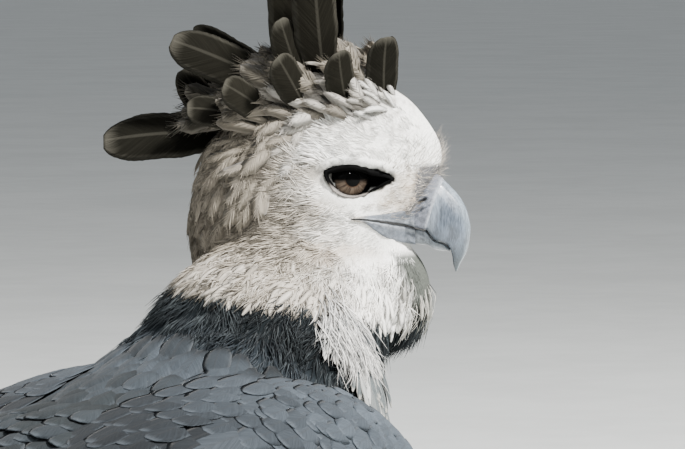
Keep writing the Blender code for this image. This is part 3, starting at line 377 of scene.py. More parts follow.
def eye_rings(side, dip, count):
    """Rings of an eyeball at angles dip from its axis, with the cornea's swelling in front."""
    axis = np.array((math.cos(EYE_AIM), side * math.sin(EYE_AIM), 0.0))
    across = np.array((axis[1] * side, -axis[0] * side, 0.0))
    wide = EYE_RADIUS * np.sin(dip)
    swelling = CORNEA[0] * np.clip(1 - (wide / CORNEA[1]) ** 2, 0, 1) * (np.cos(dip) > 0)
    line = EYE_CENTRE * (1, side, 1) + axis * (EYE_RADIUS * np.cos(dip) + swelling)[:, None]
    return to_head(hoops(line, across, wide[:, None], np.array((0, 0, 1.0)), wide[:, None], around(count)))


def eye_shift():
    """Move from the body's frame to the model's: the CAD eye's box centre less that of the same eye here."""
    low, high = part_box("eye_right")
    dip = np.array((0.05, 0.14, 0.22, 0.30, 0.38, 0.50, 0.66, 0.82, 0.94)) * math.pi
    ball = eye_rings(-1, dip, 16).reshape(-1, 3)
    return (np.array(low) + np.array(high)) / 2 / MM - (ball.min(0) + ball.max(0)) / 2


SHIFT = eye_shift()
chance = np.random.default_rng(SEED)


# Meshes

def quads(a, b, c, d):
    """Two triangles for each four-sided face."""
    return np.concatenate([np.stack([a, b, c], -1).reshape(-1, 3), np.stack([a, c, d], -1).reshape(-1, 3)])


def ring_faces(rows, ring):
    """Triangles over rows of closed rings, with a fan at each end to the two points that follow them."""
    i, j = np.arange(rows - 1)[:, None], np.arange(ring)[None, :]
    k = (j + 1) % ring
    sides = quads(i * ring + j, i * ring + k, (i + 1) * ring + k, (i + 1) * ring + j)
    j, k = j[0], k[0]
    low, high, last = np.full(ring, rows * ring), np.full(ring, rows * ring + 1), (rows - 1) * ring
    return np.concatenate([sides, np.stack([low, k, j], -1), np.stack([high, last + j, last + k], -1)])


def lofted(rings, **fields):
    """Closed body through rings; its end middles take the fields of the first and last points."""
    rings = np.asarray(rings, float)
    points = np.concatenate([rings.reshape(-1, 3), [rings[0].mean(0), rings[-1].mean(0)]])
    fields = {name: np.concatenate([values, values[:1], values[-1:]]) for name, values in fields.items()}
    return points, ring_faces(*rings.shape[:2]), fields


def tube_rings(path, radii, count=24, tall=None, upward=(0.0, 0.0, 1.0)):
    """Rings round a path, across it and upright to it."""
    path = np.asarray(path, float)
    along = unit(np.gradient(path, axis=0))
    side = unit(np.cross(along, upward))
    up = np.cross(side, along)
    tall = radii if tall is None else tall
    wide, tall = (np.broadcast_to(size, len(path))[:, None] for size in (radii, tall))
    return hoops(path, side[:, None], wide, up[:, None], tall, around(count))


def unit_ball():
    """Rings of a ball of radius one, from its top to its bottom."""
    dip = np.linspace(0.03, 0.97, 24)[:, None] * math.pi
    turn = around(40)
    return np.stack([np.sin(dip) * np.cos(turn), np.sin(dip) * np.sin(turn), np.cos(dip) * np.ones(40)], -1)


def gathered(bodies):
    """Several (points, triangles, fields) as one, with the triangles' numbers moved on."""
    start = np.cumsum([0] + [len(body[0]) for body in bodies])
    points = np.concatenate([body[0] for body in bodies])
    faces = np.concatenate([body[1] + n for body, n in zip(bodies, start)])
    return points, faces, {name: np.concatenate([body[2][name] for body in bodies]) for name in bodies[0][2]}


def mirrored(body, side):
    """A body made on the left, kept there or put on the right."""
    return body[0] * (1, side, 1), body[1], body[2]


def piece(name, body, material, slot, *stands_for):
    """Object from points in the body's frame, triangles and fields; a field called patch is its bake map."""
    points, faces, fields = body
    corners = points[faces]
    if np.einsum("ij,ij->", corners[:, 0], np.cross(corners[:, 1], corners[:, 2])) < 0:
        faces = faces[:, ::-1]
    mesh = bpy.data.meshes.new(name)
    mesh.vertices.add(len(points))
    mesh.vertices.foreach_set("co", ((points + SHIFT) * MM).astype(np.float32).ravel())
    mesh.loops.add(faces.size)
    mesh.loops.foreach_set("vertex_index", faces.astype(np.int32).ravel())
    mesh.polygons.add(len(faces))
    mesh.polygons.foreach_set("loop_start", np.arange(0, faces.size, 3, dtype=np.int32))
    mesh.update(calc_edges=True)
    mesh.shade_smooth()
    for title, values in fields.items():
        if title == "patch":
            spots = values[faces.ravel()].astype(np.float32).ravel()
            mesh.uv_layers.new(name="OFBake").uv.foreach_set("vector", spots)
        elif values.ndim == 2:
            rgba = np.column_stack([values, np.ones(len(values))]).astype(np.float32).ravel()
            mesh.attributes.new(title, "FLOAT_COLOR", "POINT").data.foreach_set("color", rgba)
        else:
            layer = mesh.attributes.new(title, "FLOAT", "POINT")
            layer.data.foreach_set("value", values.astype(np.float32))
    mesh.materials.append(material)
    made = bpy.data.objects.new(name, mesh)
    bpy.context.scene.collection.objects.link(made)
    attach(made, "root")
    if stands_for:
        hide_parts(*stands_for)
    return made


# Feathers

def blade_faces(rows, ring, count):
    """Triangles of count closed blades, each rows rings of ring points with flat caps."""
    i, k = np.arange(rows - 1)[:, None], np.arange(ring)[None]
    n = (k + 1) % ring
    sides = quads(i * ring + k, (i + 1) * ring + k, (i + 1) * ring + n, i * ring + n)
    k = np.arange(1, ring - 1)
    zero = np.zeros_like(k)
    ends = [np.stack([zero, k, k + 1], -1), (rows - 1) * ring + np.stack([zero, k + 1, k], -1)]
    one = np.concatenate([sides, *ends])
    return (one[None] + (np.arange(count) * rows * ring)[:, None, None]).reshape(-1, 3)


def bodied(solid, t, across, tint, patch, size=0.003):
    """Points, triangles and fields of many blades from their rings (count, rows, ring), with bake patches."""
    count, rows, ring = solid.shape[:3]
    along, across, luck = (np.broadcast_to(values, (count, rows, ring)) for values in (
        np.asarray(t)[None, :, None], across, chance.random(count)[:, None, None]))
    place = patch[:, None, None] + size * np.stack([across / 2, along - 0.5], -1)
    tint = np.broadcast_to(tint[:, None, None], solid.shape).reshape(-1, 3)
    fields = {"along": along.ravel(), "across": across.ravel(), "luck": luck.ravel(), "tint": tint,
              "patch": place.reshape(-1, 2)}
    return solid.reshape(-1, 3), blade_faces(rows, ring, count), fields


def blades(middle, thick, t, tint, patch, size=0.003):
    """Closed lens about each grid of points: middle plus and minus normal thick / 2 (1 - j^2)."""
    columns = middle.shape[2]
    normal = unit(np.cross(np.gradient(middle, axis=1), np.gradient(middle, axis=2)))
    j = np.linspace(-1, 1, columns)
    half = (thick / 2 * (1 - j**2))[..., None]
    back = slice(columns - 2, 0, -1)
    solid = np.concatenate([middle + normal * half, (middle - normal * half)[:, :, back]], axis=2)
    return bodied(solid, t, np.concatenate([j, j[back]]), tint, patch, size)


def bowed(root, lie, face, length, rise, curl, sway, t):
    """Centre line of feathers: root + L (lie t + face (rise t - curl t^2) + side sway t^2)."""
    length, rise, curl, sway = (values[:, None, None] for values in (length, rise, curl, sway))
    side = np.cross(face, lie)
    return (root[:, None] + lie[:, None] * length * t + face[:, None] * length * (rise * t - curl * t**2)
            + side[:, None] * length * sway * t**2)


def tufts(root, lie, face, length, width, rise, curl, sway, tint, patch, rows=3):
    """Fine three-sided strands along their centre lines, narrowing to a point."""
    t = np.linspace(0, 1, rows)
    side = np.cross(face, lie)
    centre = bowed(root, lie, face, length, rise, curl, sway, t[None, :, None])
    wide = width[:, None, None] * (1 - 0.93 * t[None, :, None] ** 1.6)
    turn = (math.pi / 2 - around(3))[None, None, :, None]
    solid = (centre[:, :, None] + side[:, None, None] * wide[:, :, None] * np.cos(turn)
             + face[:, None, None] * wide[:, :, None] * 0.55 * np.sin(turn))
    return bodied(solid, t, np.array((0.0, 0.9, -0.9)), tint, patch)


def outline(t, blunt=0.5, root=0.42):
    """Half-width as a share of the widest: root + (1 - root)(t/0.42)^0.8, then a rounded tip past 0.72."""
    body = root + (1 - root) * np.clip(t / 0.42, 0, 1) ** 0.8
    tip = np.sqrt(np.clip(1 - ((t - 0.72) / 0.28) ** 2 * (1 - blunt**2), 0, 1))
    return body * np.where(t > 0.72, tip, 1.0)


def spread_out(line, side, face, wide, cup, columns, edge=0.0):
    """Grids of vanes about centre lines: line + side w j (1 + edge) - face cup w j^2, j from -1 to 1."""
    j = np.linspace(-1, 1, columns)
    wide = wide[:, :, None]
    grid = line[:, :, None] + side[:, None, None] * (wide * j * (1 + edge))[..., None]
    return grid - face[:, None, None] * (cup * wide * j**2)[..., None]


def laid(root, lie, face, length, half, rise, curl, sway, t, columns, cup, blunt, ragged):
    """Grids of vanes that lie on the skin, as wide as half outline(t), a little ragged along their edges."""
    line = bowed(root, lie, face, length, rise, curl, sway, t[None, :, None])
    wide = half[:, None] * outline(t, blunt)[None, :]
    wide = wide * (1 + ragged * chance.normal(size=wide.shape) * t[None, :])
    return spread_out(line, np.cross(face, lie), face, wide, cup, columns)


def plumes(root, lie, face, length, half, rise, curl, sway, tint, patch, barbs, wide, ribs):
    """Soft feathers: strands that leave a curved shaft to both sides, swept to its tip, over a thin vane."""
    count = len(root)
    t = ((np.arange(barbs) + chance.random((count, barbs))) / barbs)[..., None]
    sign = np.where(np.arange(barbs) % 2, 1.0, -1.0)[None, :, None]
    run = np.linspace(0, 1, 7)
    vane = laid(root, lie, face, length, half * 0.78, rise, curl, sway, run, 3, 0.3, 0.4, 0.06)
    spot = bowed(root, lie, face, length, rise, curl, sway, t)
    lie, face, rise, curl, sway = lie[:, None], face[:, None], *(v[:, None, None] for v in (rise, curl, sway))
    across = np.cross(face, lie)
    ahead = unit(lie + face * (rise - 2 * curl * t) + across * 2 * sway * t)
    way = unit(ahead * (1.25 + 1.6 * t**3) + across * sign - 0.15 * face + chance.normal(0, 0.12, spot.shape))
    reach = 1.3 * half[:, None] * outline(t[..., 0], 0.5, 0.6) * chance.uniform(0.75, 1.25, (count, barbs))
    turn = t * length[:, None, None] / 4.6 + chance.random((count, 1, 1))
    bands = 1 + ribs * np.sin(TAU * turn) + chance.normal(0, 0.05, t.shape)
    total = count * barbs
    barb = tufts(spot.reshape(-1, 3), way.reshape(-1, 3), flat_on(face, way).reshape(-1, 3), reach.ravel(),
                 wide * chance.uniform(0.7, 1.2, total), np.full(total, 0.1), np.full(total, 0.15),
                 np.zeros(total), (tint[:, None] * bands).reshape(-1, 3), np.repeat(patch, barbs, axis=0), 2)
    return gathered([barb, blades(vane, 0.3, run, tint * 0.85, patch)])


# Colours of skin and coat

def above_head_plane(points):
    """Height over the plane that parts head and neck, for points in the body's frame."""
    spot, tilt = HEAD_CUT
    normal = to_head(np.array((math.sin(-tilt), 0, math.cos(tilt))))
    return (points - to_head(spot)) @ normal


def body_station(points):
    """Distance along the body's line of the nearest of 160 stations."""
    stations = np.linspace(0, lengths(BODY)[-1], 160)
    line = smooth(stations, lengths(BODY), BODY[:, :2])
    near = ((points[:, None, [0, 2]] - line[None]) ** 2).sum(-1)
    return stations[near.argmin(1)]


def head_markings(points):
    """White face, ash cheeks and crown, taupe hind head, tawny lores, painted shadow in the crease below the
    gape, and a grey throat darkened by painted shade.
    """
    x, y, z = in_head(points).T
    broad, fine = ripple(points, 26, 3), ripple(points, 9, 5)
    flecks = step_between(0.1, 0.8, ripple(points, 7, 6))
    tint = mix(WHITE, ASH, step_between(10, -28, x + 5 * broad + 0.35 * (z + 10)))
    tint = mix(tint, TAUPE, 0.75 * step_between(-34, -62, x + 7 * broad) * step_between(-66, -30, z))
    tint = mix(tint, ASH, 0.55 * step_between(24, 46, z + 4 * broad) * step_between(34, 10, x))
    tint = mix(tint, TAUPE, 0.6 * flecks * step_between(18, 34, z) * step_between(40, 22, x))
    lore = step_between(9, 24, x) * step_between(12, 2, z) * step_between(-24, -16, z)
    tint = mix(tint, (196, 180, 160), 0.7 * lore * (0.7 + 0.5 * fine))
    # Painted shadow: a grey-brown line along the crease that runs back from the gape.
    crease_shadow = np.exp(-((z + 35 + 0.12 * (x + 10)) ** 2) / 14)
    crease_shadow = crease_shadow * step_between(22, 8, x) * step_between(-22, -4, x)
    tint = mix(tint, (176, 163, 148), 0.6 * crease_shadow)
    # Painted shade: the throat's middle under the bill, grey in itself, is darkened nearly to the shade the
    # bill casts on it.
    throat = step_between(31, 25, np.abs(y) + 2 * fine) * step_between(-36, -42, z) * step_between(-2, 12, x)
    return mix(tint, (66, 70, 65), 0.97 * throat)


def markings(points):
    """Colour of the plumage at points in the body's frame, from soft steps between regions."""
    station = body_station(points)
    broad = ripple(points, 26, 3)
    neck = mix(SLATE, DARK, np.clip(0.35 + 0.4 * broad, 0, 1))
    # Darker towards the tail, from mantle grey to slate: partly the darker rear plumage, partly painted
    # shade.
    rear = 0.7 * step_between(150, 250, station)
    back = mix(MANTLE, SLATE, np.clip(0.25 + 0.3 * broad + rear, 0, 1))
    under = mix(mix(SLATE, DARK, 0.7), BELLY, step_between(185, 215, station + 8 * broad))
    centre = smooth(station, lengths(BODY), BODY[:, 1])
    trunk = mix(back, under, step_between(14, -22, points[:, 2] - centre + 6 * broad))
    body = mix(neck, trunk, step_between(120, 165, station))
    return mix(body, head_markings(points), step_between(7, 12, above_head_plane(points) + 1.5 * broad))


# Materials

class Nodes:
    """A node tree, with short calls for the kinds of node that the finishes use."""

    def __init__(self, tree):
        self.tree = tree

    def join(self, value, socket):
        """Links an output to a socket, or sets the socket's own value."""
        if isinstance(value, bpy.types.NodeSocket):
            self.tree.links.new(value, socket)
        else:
            socket.default_value = value

    def new(self, kind, inputs, **settings):
        """New node with its settings, and its inputs by name or number."""
        node = self.tree.nodes.new("ShaderNode" + kind)
        for name, value in settings.items():
            setattr(node, name, value)
        for key, value in inputs.items():
            self.join(value, node.inputs[key])
        return node

    def maths(self, operation, *values):
        """Result of one sum on its values."""
        return self.new("Math", dict(enumerate(values)), operation=operation).outputs[0]

    def times(self, a, b):
        """a b."""
        return self.maths("MULTIPLY", a, b)

    def plus(self, a, b):
        """a + b."""
        return self.maths("ADD", a, b)

    def less(self, a, b):
        """a - b."""
        return self.maths("SUBTRACT", a, b)

    def ramp(self, value, low, high, to_low=0.0, to_high=1.0):
        """Smooth step of value from low to high, mapped between two numbers."""
        numbers = {"Value": value, "From Min": low, "From Max": high, "To Min": to_low, "To Max": to_high}
        return self.new("MapRange", numbers, interpolation_type="SMOOTHSTEP").outputs["Result"]

    def blend(self, share, a, b, kind="MIX"):
        """Colours a and b blended by a share."""
        settings = {"data_type": "RGBA", "blend_type": kind, "clamp_factor": True}
        return self.new("Mix", {0: share, 6: a, 7: b}, **settings).outputs[2]

    def place(self):
        """Object coordinates."""
        return self.new("TexCoord", {}).outputs["Object"]

    def noise(self, scale, detail=3.0, vector=None, roughness=0.55):
        """Noise on Object coordinates, or on another vector, at scale waves a metre."""
        vector = self.place() if vector is None else vector
        numbers = {"Scale": scale, "Detail": detail, "Roughness": roughness, "Vector": vector}
        return self.new("TexNoise", numbers).outputs["Fac"]

    def field(self, name, output="Fac"):
        """A field of the mesh, as a number, a colour or a vector."""
        return self.new("Attribute", {}, attribute_name=name).outputs[output]

    def vector(self, x, y, z):
        """Three numbers as a vector."""
        return self.new("CombineXYZ", {0: x, 1: y, 2: z}).outputs[0]

    def placed(self, kind, values):
        """One of the shared groups, with its inputs set by name."""
        return self.new("Group", values, node_tree=GROUPS[kind])


def group(title, inputs, outputs):
    """New shader group: its nodes, its inputs' sockets and the node that takes its outputs."""
    tree = bpy.data.node_groups.new(title, "ShaderNodeTree")
    for name, value in inputs.items():
        kind = "Float" if isinstance(value, float) else ("Color" if len(value) == 4 else "Vector")
        socket = tree.interface.new_socket(name, in_out="INPUT", socket_type="NodeSocket" + kind)
        socket.default_value = value
    for name, kind in outputs.items():
        tree.interface.new_socket(name, in_out="OUTPUT", socket_type="NodeSocket" + kind)
    return Nodes(tree), tree.nodes.new("NodeGroupInput").outputs, tree.nodes.new("NodeGroupOutput").inputs


def vane_group():
    """Barbs aslant from the shaft, a shaft line, paler edge and tip, and a downy dark root, on the tint."""
    n, start, end = group("Feather vane", {
        "Barbs": 40.0, "Slant": 0.35, "Contrast": 0.4, "Edge": 0.3, "Shaft": 0.3, "Root": 0.3,
        "Edge Colour": (0.4, 0.4, 0.4, 1)}, {"Colour": "Color", "Height": "Float"})
    along, across, luck = n.field("along"), n.field("across"), n.field("luck")
    wide = n.maths("ABSOLUTE", across)
    run = n.less(along, n.times(wide, start["Slant"]))
    spot = n.vector(n.times(run, start["Barbs"]), n.times(across, 0.8), n.times(luck, 57.0))
    streak = n.noise(1.0, 2.0, spot, 0.6)
    lines = n.ramp(streak, 0.32, 0.68)
    darker = n.times(start["Contrast"], n.less(1.0, lines))
    bright = n.times(n.maths("MULTIPLY_ADD", luck, 0.28, 0.86), n.less(1.0, darker))
    root = n.times(start["Root"], n.ramp(along, 0.5, 0.05))
    bright = n.times(bright, n.less(1.0, root))
    colour = n.blend(1.0, n.field("tint", "Color"), n.vector(bright, bright, bright), "MULTIPLY")
    rim = n.maths("MAXIMUM", n.ramp(n.plus(wide, n.times(streak, 0.25)), 0.86, 1.14),
                  n.ramp(n.plus(along, n.times(streak, 0.12)), 0.93, 1.08))
    colour = n.blend(n.times(rim, start["Edge"]), colour, start["Edge Colour"])
    line = n.ramp(wide, 0.10, 0.03)
    colour = n.blend(n.times(line, start["Shaft"]), colour, (0.02, 0.02, 0.02, 1))
    pale = n.times(line, n.times(start["Shaft"], -0.5))
    n.join(n.blend(pale, colour, start["Edge Colour"]), end["Colour"])
    n.join(n.plus(lines, n.times(n.ramp(wide, 0.12, 0.02), 0.8)), end["Height"])
    return n.tree


def bars_group():
    """Pale bands across a long feather: a smooth square wave of the place along it, wavered by noise."""
    n, start, end = group("Feather bars", {
        "Colour": (1, 1, 1, 1), "Band": (0.3, 0.3, 0.3, 1), "Count": 4.0, "Width": 0.4, "Amount": 0.8},
        {"Colour": "Color"})
    waver = n.maths("MULTIPLY_ADD", n.noise(90.0), 0.30, -0.15)
    turn = n.plus(n.times(n.field("along"), start["Count"]), waver)
    part = n.maths("FRACT", n.plus(turn, 8.0))
    band = n.ramp(n.less(part, start["Width"]), 0.06, -0.06)
    n.join(n.blend(n.times(band, start["Amount"]), start["Colour"], start["Band"]), end["Colour"])
    return n.tree


def mottle_group():
    """A colour between two, by noise at two sizes, with the fine part put out as height too."""
    n, start, end = group("Mottle", {
        "Dark": (0.1, 0.1, 0.1, 1), "Light": (0.5, 0.5, 0.5, 1), "Scale": 120.0, "Stretch": (1, 1, 1)},
        {"Colour": "Color", "Height": "Float"})
    spot = n.new("VectorMath", {0: n.place(), 1: start["Stretch"]}, operation="MULTIPLY").outputs[0]
    spot = n.new("VectorMath", {0: spot, "Scale": start["Scale"]}, operation="SCALE").outputs[0]
    broad = n.noise(1.0, 4.0, spot)
    fine = n.noise(6.0, 3.0, spot)
    share = n.ramp(n.maths("MULTIPLY_ADD", fine, 0.4, n.times(broad, 0.6)), 0.36, 0.64)
    n.join(n.blend(share, start["Dark"], start["Light"]), end["Colour"])
    n.join(fine, end["Height"])
    return n.tree


GROUPS = {"vane": vane_group(), "bars": bars_group(), "mottle": mottle_group()}


def finish(title, roughness, settings):
    """New material with one Principled shader: its nodes, the material and the shader's sockets."""
    material = bpy.data.materials.new(title)
    material.use_nodes = True
    sockets = material.node_tree.nodes["Principled BSDF"].inputs
    sockets["Roughness"].default_value = roughness
    for name, value in settings.items():
        sockets[name].default_value = value
    return Nodes(material.node_tree), material, sockets


def coloured(n, sockets, colour, height, strength, distance):
    """Joins a colour, and a bump of the given strength and distance in metres, to the shader."""
    n.join(colour, sockets["Base Color"])
    bump = n.new("Bump", {"Height": height, "Strength": strength, "Distance": distance})
    n.join(bump.outputs[0], sockets["Normal"])


def mottled(n, values):
    """The tint times a mottle: its colour and its height."""
    spots = n.placed("mottle", values)
    colour = n.blend(1.0, n.field("tint", "Color"), spots.outputs["Colour"], "MULTIPLY")
    return colour, spots.outputs["Height"]


def plumage(title, barbs, contrast, edge, shaft, root, edge_colour, slant=0.35, bars=None, soft=0.08):
    """Feather finish: the vane group over the tint, with bars across where given."""
    n, material, sockets = finish(title, 0.75, {"Specular IOR Level": soft, "Sheen Weight": soft * 0.5,
                                                "Sheen Roughness": 0.5})
    vane = n.placed("vane", {"Barbs": barbs, "Slant": slant, "Contrast": contrast, "Edge": edge,
                             "Shaft": shaft, "Root": root, "Edge Colour": opaque(edge_colour)})
    colour = vane.outputs["Colour"]
    if bars:
        band, count, width, amount = bars
        colour = n.placed("bars", {"Colour": colour, "Band": opaque(band), "Count": count, "Width": width,
                                   "Amount": amount}).outputs["Colour"]
    coloured(n, sockets, colour, vane.outputs["Height"], 0.35, 0.0004)
    return material


def strand_finish():
    """Fine hair-like plumage: the tint, darker at the root and varied from strand to strand."""
    n, material, sockets = finish("Strands", 0.8, {"Specular IOR Level": 0.04, "Sheen Weight": 0.03,
                                                   "Sheen Roughness": 0.5})
    vane = n.placed("vane", {"Barbs": 3.0, "Slant": 0.0, "Contrast": 0.10, "Edge": 0.0, "Shaft": 0.0,
                             "Root": 0.22, "Edge Colour": (0.6, 0.6, 0.6, 1)})
    coloured(n, sockets, vane.outputs["Colour"], n.noise(1500.0, 2.0), 0.1, 0.0002)
    return material


def skin_finish():
    """Skin under the feathers: the same markings as the coat, darker, with down-like mottling."""
    n, material, sockets = finish("Underdown", 0.9, {"Specular IOR Level": 0.0})
    down = {"Dark": (0.70, 0.70, 0.69, 1), "Light": (0.96, 0.96, 0.96, 1), "Scale": 900.0}
    coloured(n, sockets, *mottled(n, down), 0.6, 0.0006)
    return material


def tinted(title, roughness, scale, stretch, spread, bump, settings):
    """Horn and bare skin: the tint times a mottle between two shares, rough by turns, with a fine bump."""
    n, material, sockets = finish(title, roughness, settings)
    low, high = ((value,) * 3 + (1,) for value in spread)
    colour, height = mottled(n, {"Dark": low, "Light": high, "Scale": scale, "Stretch": stretch})
    coloured(n, sockets, colour, height, *bump)
    wear = n.ramp(height, 0.3, 0.7, roughness * 0.8, min(1.0, roughness * 1.25))
    n.join(wear, sockets["Roughness"])
    return material


def scaled_finish():
    """Scaly leg skin: small rounded cells as bump and darker seams, over the tint."""
    n, material, sockets = finish("Scaled skin", 0.5, {"Specular IOR Level": 0.4})
    cells = n.new("TexVoronoi", {}, feature="DISTANCE_TO_EDGE")
    n.join(n.place(), cells.inputs["Vector"])
    n.join(330.0, cells.inputs["Scale"])
    raised = n.ramp(cells.outputs["Distance"], 0.0, 0.22)
    shades = {"Dark": (0.72, 0.70, 0.64, 1), "Light": (1.08, 1.08, 1.08, 1), "Scale": 160.0}
    seam = n.times(n.less(1.0, raised), n.field("cells"))
    colour = n.blend(n.times(seam, 0.55), mottled(n, shades)[0], (0.12, 0.08, 0.03, 1))
    coloured(n, sockets, colour, n.times(raised, n.field("cells")), 0.8, 0.0007)
    return material


def eye_finish():
    """Wet eye: black pupil, brown iris with fibres, dark ring, a dark ball behind it, and painted shade over
    the iris's upper part.
    """
    n, material, sockets = finish("Wet eye", 0.12, {"Coat Weight": 0.12, "Coat Roughness": 0.02,
                                                    "Coat IOR": 1.38, "Specular IOR Level": 0.0})
    reach, spoke = n.field("reach"), n.field("spoke", "Vector")
    fibres = n.noise(5.0, 4.0, spoke, 0.65)
    iris = n.blend(n.ramp(fibres, 0.35, 0.65), opaque((58, 49, 43)), opaque((104, 91, 79)))
    iris = n.blend(n.ramp(n.noise(1.3, 2.0, spoke), 0.35, 0.7, 0.0, 0.35), iris, opaque((62, 48, 38)))
    iris = n.blend(n.ramp(reach, 0.52, 0.42, 0.0, 0.8), iris, opaque((60, 42, 30)))
    iris = n.blend(n.ramp(reach, 0.86, 1.0), iris, (0.004, 0.004, 0.005, 1))
    # Painted shade: the iris turns black above the pupil's middle, as the shadow of the lid and brow.
    height = n.new("SeparateXYZ", {0: spoke}).outputs[1]
    iris = n.blend(n.ramp(n.times(height, reach), -0.34, 0.04), iris, (0.002, 0.002, 0.002, 1))
    iris = n.blend(n.ramp(reach, 0.425, 0.40), iris, (0.001, 0.001, 0.001, 1))
    coloured(n, sockets, iris, fibres, 0.05, 0.0001)
    return material


def stage_finish():
    """Pale floor with the faintest broad mottle."""
    n, material, sockets = finish("Studio floor", 0.9, {"Specular IOR Level": 0.1})
    shades = {"Dark": opaque((206, 208, 206)), "Light": opaque((214, 216, 214)), "Scale": 2.0}
    n.join(n.placed("mottle", shades).outputs["Colour"], sockets["Base Color"])
    return material


STRANDS = strand_finish()
UNDERDOWN = skin_finish()
CONTOUR = plumage("Grey contour feathers", 42.0, 0.30, 0.34, 0.20, 0.60, (84, 91, 98))
SOFT = plumage("Soft pale feathers", 22.0, 0.30, 0.35, 0.10, 0.25, (238, 235, 228), slant=0.5)
BARBS = plumage("Soft barbs", 3.0, 0.12, 0.25, 0.0, 0.50, (170, 163, 152), slant=0.0)
SOFT_GREY = plumage("Soft grey feathers", 44.0, 0.46, 0.60, 0.20, 0.35, (214, 209, 199), slant=0.5)
CREST_VANE = plumage("Crest feathers", 95.0, 0.34, 0.42, -0.30, 0.30, (78, 76, 69), slant=0.25, soft=0.0)
FLIGHT = plumage("Flight feathers", 150.0, 0.25, 0.30, 0.60, 0.25, (120, 122, 122), slant=0.10,
                 bars=((104, 106, 104), 6.0, 0.32, 0.35))
TAIL_VANE = plumage("Tail feathers", 190.0, 0.22, 0.35, 0.60, 0.10, (190, 188, 182), slant=0.10,
                    bars=((172, 170, 163), 4.0, 0.42, 0.85))
BARRED = plumage("Barred thigh feathers", 20.0, 0.25, 0.20, 0.10, 0.15, (240, 237, 230), slant=0.4,
                 bars=((70, 72, 72), 2.0, 0.22, 0.8))
HORN = tinted("Bill horn", 0.36, 300.0, (1.0, 1.0, 0.16), (0.50, 1.40), (0.30, 0.0003), {"Coat Weight": 0.15})
CERE = tinted("Cere skin", 0.46, 380.0, (1, 1, 1), (0.60, 1.28), (0.80, 0.0006), {"Specular IOR Level": 0.45})
LID = tinted("Lid skin", 0.7, 700.0, (1, 1, 1), (0.7, 1.2), (0.6, 0.0002), {"Specular IOR Level": 0.02})
CLAW = tinted("Claw horn", 0.28, 160.0, (1, 1, 1), (0.7, 1.3), (0.1, 0.0002), {"Coat Weight": 0.3})
SCALED = scaled_finish()
WET_EYE = eye_finish()


# Skin: head, neck, trunk and thighs as one surface

def leg_line(side, a, b, share):
    """Points on the straight line from a to b, on the left or the right."""
    a, b = np.array(a, float) * (1, side, 1), np.array(b, float) * (1, side, 1)
    return a + (b - a) * np.asarray(share)[:, None]


def flesh_forms():
    """Fine closed lofts of skull, trunk, throat, brows and thighs, which the remesh joins."""
    s = np.linspace(0, 1, 110) * lengths(BODY)[-1]
    middle, radii = THROAT
    rings = [to_head(head_point(np.linspace(0, len(HEAD) - 1, 70), around(72))),
             tube_point(BODY, s[:, None], around(72)[None]),
             to_head(middle) + unit_ball() * np.array(radii, float)]
    for side in (1, -1):
        row = resampled(BROW, 30)
        rings.append(tube_rings(to_head(row[:, :3] * (1, side, 1)), row[:, 3], 14))
        share = np.linspace(-0.12, 1.05, 40)
        size = smooth(np.clip(share, 0, 1.06), THIGH[:, 0], THIGH[:, 1:])
        rings.append(tube_rings(leg_line(side, HIP, HOCK, share), size[:, 1], 36, size[:, 0], (0, 1.0, 0)))
    return gathered([lofted(form) for form in rings])


def evaluated(made):
    """Points, normals and triangles of an object with its modifiers, in the body's frame."""
    mesh = bpy.data.meshes.new_from_object(made.evaluated_get(bpy.context.evaluated_depsgraph_get()))
    points, normals = np.empty((2, len(mesh.vertices) * 3), np.float32)
    mesh.vertices.foreach_get("co", points)
    mesh.vertices.foreach_get("normal", normals)
    mesh.calc_loop_triangles()
    faces = np.empty(len(mesh.loop_triangles) * 3, np.int32)
    mesh.loop_triangles.foreach_get("vertices", faces)
    bpy.data.meshes.remove(mesh)
    return points.reshape(-1, 3) / MM - SHIFT, normals.reshape(-1, 3).astype(float), faces.reshape(-1, 3)


def coat_depth(points):
    """Depth of the plumage: thin on the face, thicker back over head, neck and trunk."""
    face, head, neck, trunk = COAT
    over_head = face + (head - face) * step_between(16, -20, in_head(points)[:, 0])
    over_body = neck + (trunk - neck) * step_between(90, 170, body_station(points))
    return over_head + (over_body - over_head) * step_between(4, -14, above_head_plane(points))


def inside(polygon, x, z):
    """Signed closeness to a closed outline round the eye: 1 at its middle, 0 on it, below 0 outside."""
    middle = np.array((5.0, 1.8))
    turn = np.arctan2(polygon[:, 1] - middle[1], polygon[:, 0] - middle[0])
    order = np.argsort(turn)
    turn, reach = turn[order], np.hypot(*(polygon[order] - middle).T)
    turn = np.concatenate([turn[-1:] - TAU, turn, turn[:1] + TAU])
    reach = np.concatenate([reach[-1:], reach, reach[:1]])
    here = np.interp(np.arctan2(z - middle[1], x - middle[0]), turn, reach)
    return 1 - np.hypot(x - middle[0], z - middle[1]) / here


def by_eye(x, y, z):
    """Closeness to the lids' outer edge at points of the head, and 0 where they aren't at the side."""
    return inside(LID_EDGE, x, z) * (np.abs(y) > 14)


def eye_depth(x, z):
    """How far out the eyeball reaches at x, z of the head's frame."""
    apart = (x - EYE_CENTRE[0]) ** 2 + (z - EYE_CENTRE[2]) ** 2
    return EYE_CENTRE[1] + np.sqrt(np.clip(EYE_RADIUS**2 - apart, 0, None))


